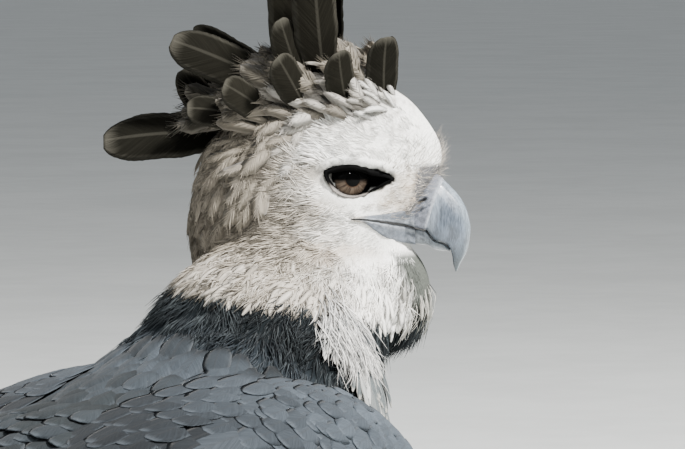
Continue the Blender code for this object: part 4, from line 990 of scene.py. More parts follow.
def make_skin():
    """Joined, rounded and drawn in by the coat's depth, with a socket sunk round each eye, painted near-black
    as shade.
    """
    rough = piece("rough_skin", flesh_forms(), UNDERDOWN, "body_feathers")
    remesh = rough.modifiers.new("join", "REMESH")
    remesh.mode = "VOXEL"
    remesh.voxel_size = 3.2 * MM
    soften = rough.modifiers.new("soften", "SMOOTH")
    soften.factor = 0.5
    soften.iterations = 14
    outer, normals, faces = evaluated(rough)
    bpy.data.objects.remove(rough)
    x, y, z = in_head(outer - normals * coat_depth(outer)[:, None]).T
    side, y = np.sign(y), np.abs(y)
    near = y > 14
    close = np.where(near, inside(LID_EDGE, x, z), -1.0)
    on_ball = np.hypot(x - EYE_CENTRE[0], z - EYE_CENTRE[2]) < EYE_RADIUS
    deep = np.where(on_ball, eye_depth(x, z) - 3.0, y - 4.5)
    ridge = np.interp(x, BROW_LINE[:, 0], BROW_LINE[:, 1])
    reach = step_between(-24, -12, x) * step_between(31, 20, x)
    y = y + near * reach * 4.6 * bell(z - ridge, 1.5, np.where(z > ridge, 5.5, 2.2))
    fore = step_between(11, 15, x)
    y = y + (np.minimum(deep, y) - y) * np.maximum(step_between(0.02, 0.22, close),
                                                   step_between(-0.08, 0.06, close) * fore)
    points = to_head(np.stack([x, side * y, z], -1))
    # Painted shade: the skin sunk into each eye socket is near-black; at the socket's front corner the black
    # is partly dark bare skin.
    dark = np.maximum(step_between(0.02, 0.14, close), step_between(-0.12, -0.02, close) * fore)
    root = step_between(22.0, 25.0, x + 0.8 * ripple(points, 4, 7)) * (y < 22) * (z < 9) * (z > -26)
    tint = mix(mix(markings(points), (96, 96, 98), root), (4, 4, 4), dark)
    piece("skin", (points, faces, {"tint": tint}), UNDERDOWN, "body_feathers",
          "head", "neck", "torso", "thigh_left", "thigh_right")
    return points, outer, normals, faces


SKIN, OUTER, NORMALS, FACES = make_skin()
HEAD_X, HEAD_Y, HEAD_Z = in_head(SKIN).T
ABOVE = above_head_plane(SKIN)


def drape(x, z, side):
    """Outward reach |y| of the outer skin at x, z of the head's frame: a Gaussian mean of nearby points."""
    h = in_head(OUTER)
    h = h[(h[:, 1] * side > 8) & (h[:, 0] > -45) & (np.abs(h[:, 2]) < 45)]
    apart = (np.ravel(x)[:, None] - h[None, :, 0]) ** 2 + (np.ravel(z)[:, None] - h[None, :, 2]) ** 2
    weight = np.exp(-apart / 9.0) + 1e-12
    return ((weight * np.abs(h[None, :, 1])).sum(1) / weight.sum(1)).reshape(np.shape(x))


def scattered(density, count, seed):
    """Roots spread over the skin's triangles by area and density: places and normals."""
    draw = np.random.default_rng(seed)
    corners = SKIN[FACES]
    area = np.linalg.norm(np.cross(corners[:, 1] - corners[:, 0], corners[:, 2] - corners[:, 0]), axis=1) / 2
    weight = np.cumsum(area * density[FACES].mean(1))
    spots = (np.arange(count) + draw.random(count)) / count * weight[-1]
    chosen = np.minimum(np.searchsorted(weight, spots), len(FACES) - 1)
    a, b = np.sqrt(draw.random(count)), draw.random(count)
    share = np.stack([1 - a, a * (1 - b), a * b], -1)[:, :, None]
    return (SKIN[FACES[chosen]] * share).sum(1), unit((NORMALS[FACES[chosen]] * share).sum(1))


def head_patch(points):
    """Place on an unwrap of the head and neck: angle round its long axis and distance along it."""
    x, y, z = in_head(points).T
    turn = np.arctan2(y, z + 12) / TAU * 0.96 + 0.5
    return np.stack([turn, np.clip((x - z * 0.35 + 120) / 230, 0.01, 0.99)], -1)


def head_lie(points, normals):
    """Lie of the head's plumage: away from bill and eye, down on throat and nape, back on the crown."""
    h = in_head(points)
    x, y, z = h.T
    lower, upper, nape = (share[:, None] for share in (
        step_between(-22, -62, z), step_between(20, 46, z), step_between(-52, -84, x)))
    lie = (unit(h - (50, 0, -6)) + 1.1 * lower * np.array((-0.25, 0, -1.0))
           + 0.5 * upper * np.array((-1.0, 0, 0.3)) + nape * np.array((-0.1, 0, -1.2)))
    round_eye = step_between(-0.9, -0.1, inside(LID_EDGE, x, z)) * (np.abs(y) > 14)
    from_eye = unit(np.stack([x - 4, 0 * y, z - 2], -1))
    return flat_on(to_head(unit(unit(lie) + from_eye * (1.7 * round_eye)[:, None])), normals)


def body_lie(points, normals):
    """Lie of the neck's plumage: along the body's line towards the tail."""
    s = body_station(points)
    run = smooth(s + 4, lengths(BODY), BODY[:, :2]) - smooth(s - 4, lengths(BODY), BODY[:, :2])
    way = np.stack([run[:, 0], np.zeros(len(s)), run[:, 1]], -1) + np.array((0, 0, -0.25))
    return flat_on(unit(way), normals)


def turned(lie, normals, angle):
    """The lie swung about the normal by an angle."""
    return lie * np.cos(angle)[:, None] + np.cross(normals, lie) * np.sin(angle)[:, None]


def lip_edge(x, way):
    """Outer edge of the bare skin above (way 1) and below (way -1) the mouth's line, a height at each x."""
    table = UPPER_LIP if way > 0 else LOWER_LIP
    return smooth(x, table[:, 0], table[:, 1])


def coat_piece(title, place, *strands):
    """One piece of coat from its strands, in the order of their places; rows and slot come last."""
    *columns, rows, slot = strands
    order = np.argsort(place)
    piece(f"{title}_1", tufts(*(values[order] for values in columns), rows), STRANDS, slot)


def head_coat():
    """Fine strands over face, cheeks, crown and throat, finest and shortest round eye and bill."""
    density = step_between(7, 15, ABOVE) * step_between(-0.01, -0.03, by_eye(HEAD_X, HEAD_Y, HEAD_Z))
    density = density * (1 + 0.9 * step_between(-14, 20, HEAD_X)) * np.where(HEAD_Y < 4, 1.0, 0.6)
    bill_root = step_between(23.0, 26.5, HEAD_X + 1.2 * ripple(SKIN, 5, 7))
    density *= 1 - bill_root * (np.abs(HEAD_Y) < 16.5) * (HEAD_Z < 8) * (HEAD_Z > -38)
    over, under = lip_edge(HEAD_X, 1) + 0.2, lip_edge(HEAD_X, -1) - 0.3
    density *= 1 - ((HEAD_X > 3) & (np.abs(HEAD_Y) < 42) & (HEAD_Z < over) & (HEAD_Z > under))
    before = step_between(-6, 2, HEAD_X)
    for part, (title, pick, share, rows) in enumerate((
            ("face_coat_right", (HEAD_Y < 0) * before, 0.26, 2),
            ("face_coat_left", (HEAD_Y >= 0) * before, 0.15, 2),
            ("head_coat_right", (HEAD_Y < 0) * (1 - before), 0.37, 3),
            ("head_coat_left", (HEAD_Y >= 0) * (1 - before), 0.22, 3))):
        total = int(HEAD_STRANDS[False] * share)
        root, normal = scattered(density * pick, total, 20 + part)
        x, y, z = in_head(root).T
        front = step_between(-24, 22, x)
        length = (13.5 - 7.5 * front) * chance.uniform(0.7, 1.25, total)
        length *= 1 + 0.25 * step_between(34, 12, above_head_plane(root))
        length *= 1 - 0.55 * step_between(-0.7, -0.05, by_eye(x, y, z))
        lie = turned(head_lie(root, normal), normal, wavy(root, 0.42, 13, 31, 0.16))
        width = (0.62 - 0.18 * front) * chance.uniform(0.75, 1.3, total)
        rise = 0.32 - 0.08 * front + wavy(root, 0.15, 9, 33, 0.08)
        tint = markings(root + normal * 2) * (1 + wavy(root, 0.05, 5, 35, 0.085))[:, None]
        sway = chance.normal(0, 0.12, total)
        curl = rise * (0.45 if rows == 2 else 0.75)
        coat_piece(title, x, root - normal * 0.8, lie, normal, length, width, rise, curl, sway, tint,
                   head_patch(root), rows, "head_feathers")


def neck_coat():
    """Narrow hair-like strands of the neck, slate with paler ends, over one another towards the body."""
    density = step_between(13, 7, ABOVE) * step_between(190, 165, body_station(SKIN)) * (SKIN[:, 0] > -175)
    right = SKIN[:, 1] < 6
    for part, (title, pick, share) in enumerate((("neck_coat_right", right, 0.58),
                                                 ("neck_coat_left", ~right, 0.42))):
        total = int(NECK_STRANDS[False] * share)
        root, normal = scattered(density * pick, total, 40 + part)
        lie = turned(body_lie(root, normal), normal, wavy(root, 0.30, 30, 41, 0.13))
        depth = step_between(0, -60, above_head_plane(root))
        length = (19 + 7 * depth) * chance.uniform(0.8, 1.25, total)
        width = (0.50 + 0.35 * depth) * chance.uniform(0.7, 1.3, total)
        rise = 0.28 + wavy(root, 0.15, 14, 43, 0.07)
        pale = 0.5 + wavy(root, 0.5, 9, 45, 0.25)
        tint = mix(markings(root - (0, 0, 14)), (60, 65, 67), 0.6 * step_between(0.5, 1.1, pale))
        sway = chance.normal(0, 0.14, total)
        coat_piece(title, root[:, 0], root - normal * 1.5, lie, normal, length, width, rise, rise * 0.6, sway,
                   tint, head_patch(root), 3, "neck_feathers")


head_coat()
neck_coat()


# Bill, cere, lids and eyes

def bill_section(outline_points, count):
    """Closed outline of one ring of the bill at equal steps, from one side's points."""
    half = np.array(outline_points)
    run = lengths(half)
    at = np.linspace(0, run[-1], count // 2 + 1)
    right = np.stack([np.interp(at, run, half[:, 0]), np.interp(at, run, half[:, 1])], -1)
    return np.concatenate([right, right[-2:0:-1] * (1, -1)])


def upper_points(table, count):
    """Rings of the upper bill: edge + (ridge - edge) h, half-width w."""
    section = bill_section(UPPER_SECTION, count)
    ridge, edge = table[:, 0:2], table[:, 2:4]
    spot = edge[:, None] + (ridge - edge)[:, None] * section[None, :, 0:1]
    return np.stack([spot[..., 0], table[:, 4:5] * section[None, :, 1], spot[..., 1]], axis=-1)


def grown_rings(rings, by):
    """Rings moved out along their own normals by a share for each point."""
    normal = np.cross(np.roll(rings, -1, 1) - np.roll(rings, 1, 1), np.gradient(rings, axis=0))
    out = (normal * (rings - rings.mean(1, keepdims=True))).sum(-1, keepdims=True)
    return rings + unit(normal) * np.sign(out) * by[..., None]


def make_hook():
    """Hooked upper bill, ringed by growth, with a painted highlight along the ridge, pale at the root, dark
    at its cutting edge.
    """
    hook = upper_points(resampled(UPPER_BILL, 130)[18:], 96)
    place = np.arange(len(hook))[:, None] * np.ones(96)
    growth = 0.10 * np.sin(place * 26 / (len(hook) - 1))
    hook = grown_rings(hook, growth * step_between(0, 12, place))
    low, tall = hook[..., 2].min(1, keepdims=True), np.ptp(hook[..., 2], axis=1)[:, None]
    high = ((hook[..., 2] - low) / tall).ravel()
    run = place.ravel() / (len(hook) - 1)
    tint = mix((70, 79, 90), (36, 45, 49), step_between(0.5, 0.95, run))
    # Painted highlight: a paler band along the ridge, where light falls from above.
    tint = mix(tint, (120, 130, 137), 0.7 * bell(high, 0.98, 0.16))
    tint = mix(tint, (62, 70, 80), 0.5 * bell(run, 0.20, 0.09) * bell(high, 0.6, 0.3))
    tint = mix(tint, (116, 124, 132), 0.5 * step_between(0.22, 0.0, run))
    tint = mix(tint, (52, 58, 64), 0.6 * bell(high, 0, 0.06))
    piece("bill_hook", lofted(to_head(hook), tint=tint), HORN, "horn", "bill_upper")


def fold_dip(x, z, fold):
    """Groove of a fold, 1 deep, and its rims, from distances u along it and v across it."""
    cx, cz, long, wide = fold
    u = (x - cx) * math.cos(CERE_SLOPE) + (z - cz) * math.sin(CERE_SLOPE)
    v = -(x - cx) * math.sin(CERE_SLOPE) + (z - cz) * math.cos(CERE_SLOPE)
    rims = np.exp(-(u / (long * 1.3)) ** 4) * bell(np.abs(v), wide * 2.4, wide)
    return np.exp(-(u / long) ** 4) * bell(v, 0, wide), rims


def make_cere():
    """Cere over the root of the hook, with an oblique nostril and folds: grooves between rounded rims."""
    stations = np.concatenate([np.linspace(0, 2.0, 60), [2.03, 2.05]])
    cere = upper_points(rows_of(UPPER_BILL, stations), 200)
    x, y, z = cere[..., 0], cere[..., 1], cere[..., 2]
    aside = np.abs(y) > 3
    swell = 0.55 + 0.07 * np.sin(z * 1.1 + x * 0.6)
    for *fold, deep in CERE_FOLDS:
        groove, rims = fold_dip(x, z, fold)
        swell = swell - deep * groove + 0.45 * rims
    nostril = fold_dip(x, z, NOSTRIL)[0] * aside
    swell = np.where(aside, swell, 0.55) * step_between(2.05, 1.80, stations)[:, None]
    station = np.repeat(stations, 200)
    # Painted shade: the nostril's groove is near-black, as the shade inside the opening.
    tint = mix((84, 88, 97), (8, 8, 9), nostril.ravel())
    tint = mix(tint, PALE_HORN, 0.6 * step_between(1.72, 1.95, station))
    tint = mix(tint, (150, 138, 124), 0.5 * step_between(0.7, 0.1, station))
    piece("cere_skin", lofted(to_head(grown_rings(cere, swell)), tint=tint), CERE, "cere", "cere")


def make_jaw():
    """Lower bill: rings of its table, faintly rippled, with a painted highlight low on its sides."""
    table = resampled(LOWER_BILL, 60)
    section = bill_section(LOWER_SECTION, 64)
    z = table[:, 2:3] + (table[:, 1:2] - table[:, 2:3]) * section[None, :, 0]
    jaw = np.stack([np.broadcast_to(table[:, 0:1], z.shape), table[:, 3:4] * section[None, :, 1], z], -1)
    jaw = grown_rings(jaw, 0.12 * np.sin(jaw[..., 0] * 0.9 + jaw[..., 2]))
    tint = mix((92, 98, 106), (66, 75, 82), step_between(30, 48, np.repeat(table[:, 0], 64)))
    # Painted highlight: a paler band low along the jaw's sides.
    tint = mix(tint, (146, 151, 156), 0.6 * bell(np.tile(section[:, 0], 60), 0.25, 0.25))
    piece("bill_jaw", lofted(to_head(jaw), tint=tint), HORN, "horn", "bill_lower")


def gape(side):
    """Line of the mouth along the cheek, a near-black tube painted as the shade in its slit, between two
    plates of bare skin that swell into lips.
    """
    x = np.linspace(2.2, 38.5, 71)
    line = smooth(x, MOUTH[:, 0], MOUTH[:, 1])
    front = step_between(24.5, 30, x)
    reach = drape(x, line, side) - 0.35
    reach = reach + (15.3 + (28 - x) * 0.27 - reach) * front
    radius = 0.80 * step_between(1.4, 5, x) - 0.22 * front + 0.05
    seam = tube_rings(to_head(np.stack([x, side * reach, line], -1)), radius, 12)
    # Painted shade: the tube along the mouth's line is near-black, as the shade in the slit between the lips.
    bodies = [lofted(seam, tint=np.tile(linear((3, 3, 3)), (seam.size // 3, 1)))]
    x, line, front = x[:60], line[:60], front[:60]
    for way, bill_wide, into in ((1, 16.8, step_between(28.0, 32.0, x)), (-1, 13.2, front)):
        near = line + way * 0.42
        z = near[:, None] + (lip_edge(x, way) - near)[:, None] * LIP_SHARE
        across = np.broadcast_to(x[:, None], z.shape)
        reach = drape(across, z, side)
        bill = bill_wide + (28 - across) * 0.30
        reach = reach + (bill - reach) * into[:, None] + LIP_LEVEL * step_between(1.0, 6, across)
        wrinkle = 0.14 * np.sin(across * 1.7 + z * 2.3) + 0.10 * np.sin(across * 0.7 - z * 3.1)
        outer = np.stack([across, side * (reach + wrinkle), z], -1)
        inner = np.stack([across, side * (reach - 2.4), z], -1)[:, ::-1]
        tint = mix((150, 143, 132), (84, 90, 98), step_between(4, 12, across))
        tint = mix(tint, (150, 155, 160), 0.55 * bell(LIP_SHARE, 0.15, 0.10) * np.ones(across.shape))
        tint = np.concatenate([tint, tint[:, ::-1]], axis=1).reshape(-1, 3)
        bodies.append(lofted(to_head(np.concatenate([outer, inner], axis=1)), tint=tint))
    return bodies


def lid_rim(side):
    """Eyelids as one ring: from the margin on the eyeball, over a rounded lip, out under the feathers, black
    above as painted shade under the brow.
    """
    count = len(LID_MARGIN)
    turn = np.linspace(0, count, 181)[:-1]
    loop = np.arange(-3, count + 4)
    margin, edge = (smooth(turn, loop.astype(float), table[loop % count]) for table in (LID_MARGIN, LID_EDGE))
    spot = margin[:, None] + (edge - margin)[:, None] * LID_SHARE[None, :, None]
    x, z = spot[..., 0], spot[..., 1]
    upper = step_between(-2, 3, z - 0.10 * x)
    on_eye = eye_depth(x, z)
    on_skin = drape(x, z, side) - 1.4
    shade = np.clip(LID_SHARE * 1.25 + step_between(9.0, 13.0, x), 0, 1)
    reach = np.maximum(on_eye, on_skin - 3.0) * (1 - shade) + np.maximum(on_skin, on_eye) * shade
    beads = 0.22 * np.sin(turn * TAU * 3.2)[:, None] * (1 - upper) * bell(LID_SHARE, 0.3, 0.25)
    hood = 2.6 * upper * bell(LID_SHARE, 0.35, 0.5) * step_between(18, 8, x) * (LID_LEVEL > -1)
    reach = reach + LID_LEVEL * (0.75 + 0.35 * upper) + beads + hood
    # Black over the upper lid, the front corner and the margin: dark lid skin, with the upper lid deepened to
    # black as painted shade under the brow.
    black = np.clip(upper + step_between(8, 12, x) + 1.3 * bell(LID_SHARE, 0, 0.22), 0, 1)
    i, j = np.arange(180)[:, None], np.arange(10)[None]
    m, k = (i + 1) % 180, (j + 1) % 10
    faces = quads(i * 10 + j, i * 10 + k, m * 10 + k, m * 10 + j)
    tint = mix((112, 107, 103), (5, 5, 5), black).reshape(-1, 3)
    return to_head(np.stack([x, side * reach, z], -1).reshape(-1, 3)), faces, {"tint": tint}


def make_eye(side, word):
    """Eyeball; reach is the distance from the axis in irises, and spoke the way out from it."""
    dip = np.concatenate([np.linspace(0.002, 0.42, 60), np.linspace(0.45, 0.96, 16)]) * math.pi
    reach = np.repeat(EYE_RADIUS * np.sin(dip) / IRIS_RADIUS + 3 * (dip > 0.5 * math.pi), 72)
    turn = np.tile(around(72), len(dip))
    spoke = np.stack([np.cos(turn), np.sin(turn), 0.25 * reach], -1)
    ball = lofted(eye_rings(side, dip, 72), reach=reach, spoke=spoke)
    piece(f"eye_{word}_wet", ball, WET_EYE, "eye", f"eye_{word}")


make_hook()
make_cere()
make_jaw()
piece("gape_lips", gathered(gape(1) + gape(-1)), CERE, "cere")
piece("eyelids", gathered([lid_rim(1), lid_rim(-1)]), LID, "scaled_skin")
make_eye(1, "left")
make_eye(-1, "right")


# Crest, crown, ruff and bib

def frayed(count, t, splits=4):
    """Change of a vane's half-width along its edge: small ripples, and notches between parted barbs."""
    change = 0.007 * chance.normal(size=(count, len(t)))
    for _ in range(splits):
        at, deep = chance.uniform(0.35, 0.97, (count, 1)), chance.uniform(0.0, 0.09, (count, 1)) ** 1.2
        change = change - deep * bell(t, at, 0.014)
    return change * step_between(0.1, 0.4, t)


def standing(rise, splay, side):
    """Way, across, face and ahead directions of a raised feather, from its rise and splay in degrees."""
    a, lean = np.radians(rise), np.radians(splay)
    way = np.stack([np.cos(a) * np.cos(lean), side * np.sin(lean), np.sin(a) * np.cos(lean)], -1)
    ahead = np.stack([np.sin(a), 0 * a, -np.cos(a)], -1)
    across = unit(np.cross(way, 0.62 * ahead + np.stack([0 * a, side * 0.78, 0 * a], -1)))
    return way, across, np.cross(across, way), ahead


def crest_grids(rows):
    """Grids of standing feathers from the crest's rows: root + d L t - ahead bow L t^2, curled aside."""
    x, y, z, rise, splay, length, half, bow = np.array(rows, float).T
    t = np.linspace(0, 1, 44) ** 0.85
    run = t[None, :, None]
    direction, across, face, ahead = standing(rise, splay, np.sign(y))
    reach = length[:, None, None]
    root = np.stack([x, y, z], -1) - direction * 3
    line = root[:, None] + direction[:, None] * reach * run
    line = line - ahead[:, None] * bow[:, None, None] * reach * run**2
    line = line + across[:, None] * (0.05 * ripple(root, 20, 51)[:, None, None] * reach * run**2.5)
    columns = 9
    j = np.linspace(-1, 1, columns)
    fray = np.stack([frayed(len(rows), t), frayed(len(rows), t)], -1)
    edge = np.where(j < 0, fray[..., :1], fray[..., 1:]) * np.abs(j) ** 3
    wide = half[:, None] * outline(t, 0.30, 0.30)[None, :]
    return to_head(spread_out(line, across, face, wide, 0.16, columns, edge)), t


def make_crest():
    """The long feathers of the table on both sides, and shorter soft ones raised behind and between them."""
    rows = [(x, side * y, z, rise + chance.uniform(-1.5, 1.5), splay + chance.uniform(-1.5, 1.5), *shape)
            for side in (1, -1) for x, y, z, rise, splay, *shape in CREST]
    grid, t = crest_grids(rows)
    tint = mix(CREST_GREY, (25, 24, 20), chance.random(len(rows)))
    patch = chance.uniform(0.05, 0.95, (len(rows), 2))
    piece("crest_feathers", blades(grid, 0.9, t, tint, patch, 0.06), CREST_VANE, "head_feathers")
    count = CREST_BACK + CREST_FRONT
    x = np.concatenate([chance.uniform(-69, -20, CREST_BACK), chance.uniform(-20, 12, CREST_FRONT)])
    side = np.where(np.arange(count) % 2, 1.0, -1.0)
    y = chance.uniform(1, np.interp(x, (-60, -20, 12), (36, 26, 12)))
    place = np.interp(x, HEAD[:, 0], np.arange(len(HEAD)))
    turn = np.arcsin(np.clip(y / np.interp(place, np.arange(len(HEAD)), HEAD[:, 4]), 0, 0.95)) * side
    spot = to_head(np.stack([head_point(np.array((p,)), np.array((a,)))[0, 0] for p, a in zip(place, turn)]))
    rise = np.interp(x, (-80, -58, -40, -22, 16), (186, 172, 154, 134, 112)) + chance.normal(0, 9, count)
    way, _, face, _ = standing(rise, 8 + y * 0.8 + chance.normal(0, 8, count), side)
    size = np.interp(x, (-80, -40, 0, 20), (1.0, 0.95, 0.72, 0.6)) * chance.uniform(0.75, 1.15, count)
    tint = mix((48, 46, 40), (128, 121, 109), np.clip((x + 66) / 90 + chance.normal(0, 0.16, count), 0, 1))
    body = plumes(spot, to_head(way), to_head(face), 33 * size, 9.5 * size, np.full(count, 0.12),
                  np.full(count, 0.35), chance.normal(0, 0.15, count), tint, head_patch(spot), 38, 0.46, 0.10)
    piece("crest_base", body, BARBS, "head_feathers")


def crown_scales():
    """Soft feathers over the back of the head, stacked down it, ribbed across and parted by dark gaps."""
    density = step_between(-14, -34, HEAD_X - 0.45 * (HEAD_Z - 6)) * step_between(22, 34, ABOVE)
    rear = 1 + 0.5 * step_between(-30, -60, HEAD_X)
    density *= step_between(-8, 16, HEAD_Z + 0.75 * (-38 - HEAD_X)) * rear
    count = CROWN_SCALES
    root, normal = scattered(density, count, 61)
    x, _, z = in_head(root).T
    back = step_between(-4, -52, x - 0.3 * z)
    down = 0.75 * back[:, None]
    lie = head_lie(root, normal) * (1 - down) + to_head((-0.2, 0, -1.0)) * down
    lie = flat_on(unit(lie), normal)
    lie = turned(lie, normal, wavy(root, 0.22, 24, 63, 0.12))
    length = (14 + 9 * back) * chance.uniform(0.75, 1.25, count)
    half = (4.2 + 2.6 * back) * chance.uniform(0.8, 1.2, count)
    rise = 0.30 + 0.22 * back + wavy(root, 0.12, 20, 65, 0.09)
    share = np.clip(0.15 + 0.6 * back + chance.normal(0, 0.22, count), 0, 1)
    tint = mix(markings(root + normal * 2), (122, 115, 103), share)
    body = plumes(root - normal, lie, normal, length, half, rise, rise * 0.8, chance.normal(0, 0.14, count),
                  tint, head_patch(root), 34, 0.42, 0.16)
    piece("crown_scales", body, BARBS, "head_feathers")


def crown_fluff():
    """Raised soft feathers that cover the crown before the crest: pale in front, grey-brown behind."""
    density = step_between(30, 46, HEAD_Z + 0.10 * np.abs(HEAD_X + 10)) * step_between(-66, -50, HEAD_X)
    density = density * step_between(26, 14, HEAD_X) * step_between(44, 30, np.abs(HEAD_Y))
    count = CROWN_FLUFF
    root, normal = scattered(density, count, 101)
    lie = turned(head_lie(root, normal), normal, wavy(root, 0.35, 16, 103, 0.25))
    back = step_between(26, -30, in_head(root)[:, 0])
    length = (14 + 9 * back) * chance.uniform(0.75, 1.3, count)
    rise = 0.65 + 0.35 * back + wavy(root, 0.25, 12, 105, 0.12)
    share = np.clip(0.28 + 0.75 * back + wavy(root, 0.35, 9, 107, 0.15), 0, 0.95)
    tint = mix(markings(root + normal * 2), (98, 92, 82), share)
    half = (3.0 + 2.6 * back) * chance.uniform(0.75, 1.3, count)
    body = plumes(root - normal, lie, normal, length, half, rise, rise * 0.5, chance.normal(0, 0.2, count),
                  tint, head_patch(root), 22, 0.40, 0.06)
    piece("crown_fluff", body, BARBS, "head_feathers")


def lore_bristles():
    """Fine bristles before the eye and round the root of the bill, some dark, that stand over the cere."""
    density = step_between(17, 23, HEAD_X) * step_between(17, 9, HEAD_Z) * step_between(-22, -16, HEAD_Z)
    density *= inside(LID_EDGE, HEAD_X, HEAD_Z) < -0.05
    fore = step_between(24, 34, HEAD_X) * (HEAD_Z > 0) * (HEAD_Z < 24)
    count = BRISTLES
    root, normal = scattered(np.maximum(density, 0.6 * fore), count, 97)
    up = step_between(2, 12, in_head(root)[:, 2])
    lie = to_head((1.0, 0, 0)) * (0.7 - 0.3 * up)[:, None]
    lie = lie + np.array((0, 0, 1.0)) * (0.25 + 0.6 * up)[:, None] + normal * 0.55
    lie = unit(lie + chance.normal(0, 0.25, root.shape))
    length = chance.uniform(3.5, 8.0, count) * (1 + 0.25 * up)
    tint = mix((190, 182, 170), (40, 36, 32), (chance.random(count) < 0.4) * 0.9)
    width, curl = chance.uniform(0.13, 0.24, count), 0.5 * chance.random(count)
    body = tufts(root - normal * 0.5, lie, normal, length, width, np.full(count, 0.1), curl,
                 chance.normal(0, 0.3, count), tint, head_patch(root), 4)
    piece("lore_bristles", body, STRANDS, "head_feathers")


def make_ruff():
    """Fringe round the lower edge of the facial disc: soft vanes under fine strands, out over the neck."""
    throat = step_between(31, 25, np.abs(HEAD_Y)) * step_between(0, 12, HEAD_X)
    density = step_between(8, 12, ABOVE) * step_between(30, 20, ABOVE) * (1 - 0.9 * throat)
    count = RUFF_VANES
    root, normal = scattered(density, count, 71)
    lie = unit(head_lie(root, normal) * 0.5 + body_lie(root, normal) * 0.7)
    lie = turned(lie, normal, wavy(root, 0.25, 20, 73, 0.12))
    length = chance.uniform(13, 21, count)
    rise = 0.42 + wavy(root, 0.16, 18, 75, 0.06)
    t = np.linspace(0, 1, 8)
    half = chance.uniform(1.2, 2.6, count)
    grid = laid(root - normal, lie, normal, length, half, rise, rise * 0.85, chance.normal(0, 0.12, count), t,
                3, 0.2, 0.3, 0.10)
    tint = mix(markings(root + (0, 0, 6.0)), (196, 190, 180), 0.5 * chance.random(count))
    piece("ruff_feathers", blades(grid, 0.5, t, tint, head_patch(root)), SOFT, "head_feathers")
    count = RUFF_STRANDS
    fringe = bell(np.abs(HEAD_Y), 30, 3.0) * step_between(4, 14, HEAD_X) * step_between(-36, -42, HEAD_Z)
    root, normal = scattered(np.maximum(density, 0.9 * fringe * (ABOVE > 8)), count, 77)
    lie = unit(head_lie(root, normal) * 0.5 + body_lie(root, normal) * 0.7)
    lie = turned(lie, normal, wavy(root, 0.35, 12, 79, 0.2))
    rise = 0.5 + wavy(root, 0.2, 14, 81, 0.1)
    tint = mix(markings(root + (0, 0, 6.0)), (222, 217, 208), 0.5 * chance.random(count))
    length, width = chance.uniform(12, 20, count), chance.uniform(0.3, 0.6, count)
    body = tufts(root - normal, lie, normal, length, width, rise, rise * 0.9, chance.normal(0, 0.2, count),
                 tint, head_patch(root))
    piece("ruff_strands", body, STRANDS, "head_feathers")


def seen(x, y):
    """Points of the outer skin nearest the camera under spots of its picture, and their normals."""
    right = 0.656 * OUTER[:, 0] - 0.755 * OUTER[:, 1]
    near = -0.755 * OUTER[:, 0] - 0.656 * OUTER[:, 1]
    px = EYE_PIXEL[0] + (right + 4.9) / MM_PER_PIXEL
    py = EYE_PIXEL[1] - (OUTER[:, 2] + 0.6) / MM_PER_PIXEL + 0.095 * near
    apart = np.hypot(px[None] - x[:, None], py[None] - y[:, None])
    best = np.argmax(np.where(apart < 5, near[None], -1e4 - apart), axis=1)
    return OUTER[best], NORMALS[best]


def hanging(root, normal, swing):
    """Lie of plumes that hang down over neck and breast."""
    down = np.array((0, 0, -1.0)) + 0.25 * body_lie(root, normal)
    return turned(flat_on(down, normal), normal, swing)


def bib():
    """Loose narrow plumes that hang from the front of the ruff over neck and breast, grey with pale ends."""
    count = BIB_VANES
    share = chance.random(count)
    broad = np.arange(count) % 2 == 0
    spots = []
    for axis, spread in ((0, 3), (1, 7)):
        first, reach = (np.where(broad, BIB_BROAD[i], BIB_NARROW[i]) for i in (axis, axis + 2))
        spots.append(first + reach * share + chance.normal(0, spread, count))
    root, normal = seen(*spots)
    lie = hanging(root, normal, wavy(root, 0.2, 18, 85, 0.12))
    narrow_length, broad_length = chance.uniform(16, 30, count), chance.uniform(24, 36, count)
    narrow_half, broad_half = chance.uniform(0.9, 2.2, count), chance.uniform(2.0, 4.2, count)
    rise = 0.22 + chance.normal(0, 0.07, count)
    t = np.linspace(0, 1, 12)
    grid = laid(root - normal * 2, lie, normal, np.where(broad, broad_length, narrow_length),
                np.where(broad, broad_half, narrow_half), rise, rise * 0.9, chance.normal(0, 0.12, count), t,
                5, 0.2, 0.2, 0.08)
    share = np.clip(0.25 + broad * 0.6 + chance.normal(0, 0.25, count), 0, 1)
    tint = mix((188, 188, 184), (86, 92, 93), share)
    piece("bib_feathers", blades(grid, 0.5, t, tint, head_patch(root)), SOFT_GREY, "neck_feathers")
    count = BIB_STRANDS
    share = chance.random(count)
    x, y, wide, tall = BIB_FINE
    x = x + wide * share + chance.normal(0, 4, count)
    root, normal = seen(x, y + tall * share + chance.normal(0, 9, count))
    root = root + chance.normal(0, 1.6, root.shape)
    lie = hanging(root, normal, wavy(root, 0.3, 12, 87, 0.2))
    rise = 0.34 + chance.normal(0, 0.1, count)
    tint = mix((208, 206, 202), (104, 107, 108), np.clip(0.25 + wavy(root, 0.5, 10, 89, 0.2), 0, 1))
    length, width = chance.uniform(14, 27, count), chance.uniform(0.35, 0.7, count)
    body = tufts(root - normal * 2, lie, normal, length, width, rise, rise * 0.9,
                 chance.normal(0, 0.2, count), tint, head_patch(root), 4)
    piece("bib_strands", body, STRANDS, "neck_feathers")


# Trunk, wings and tail

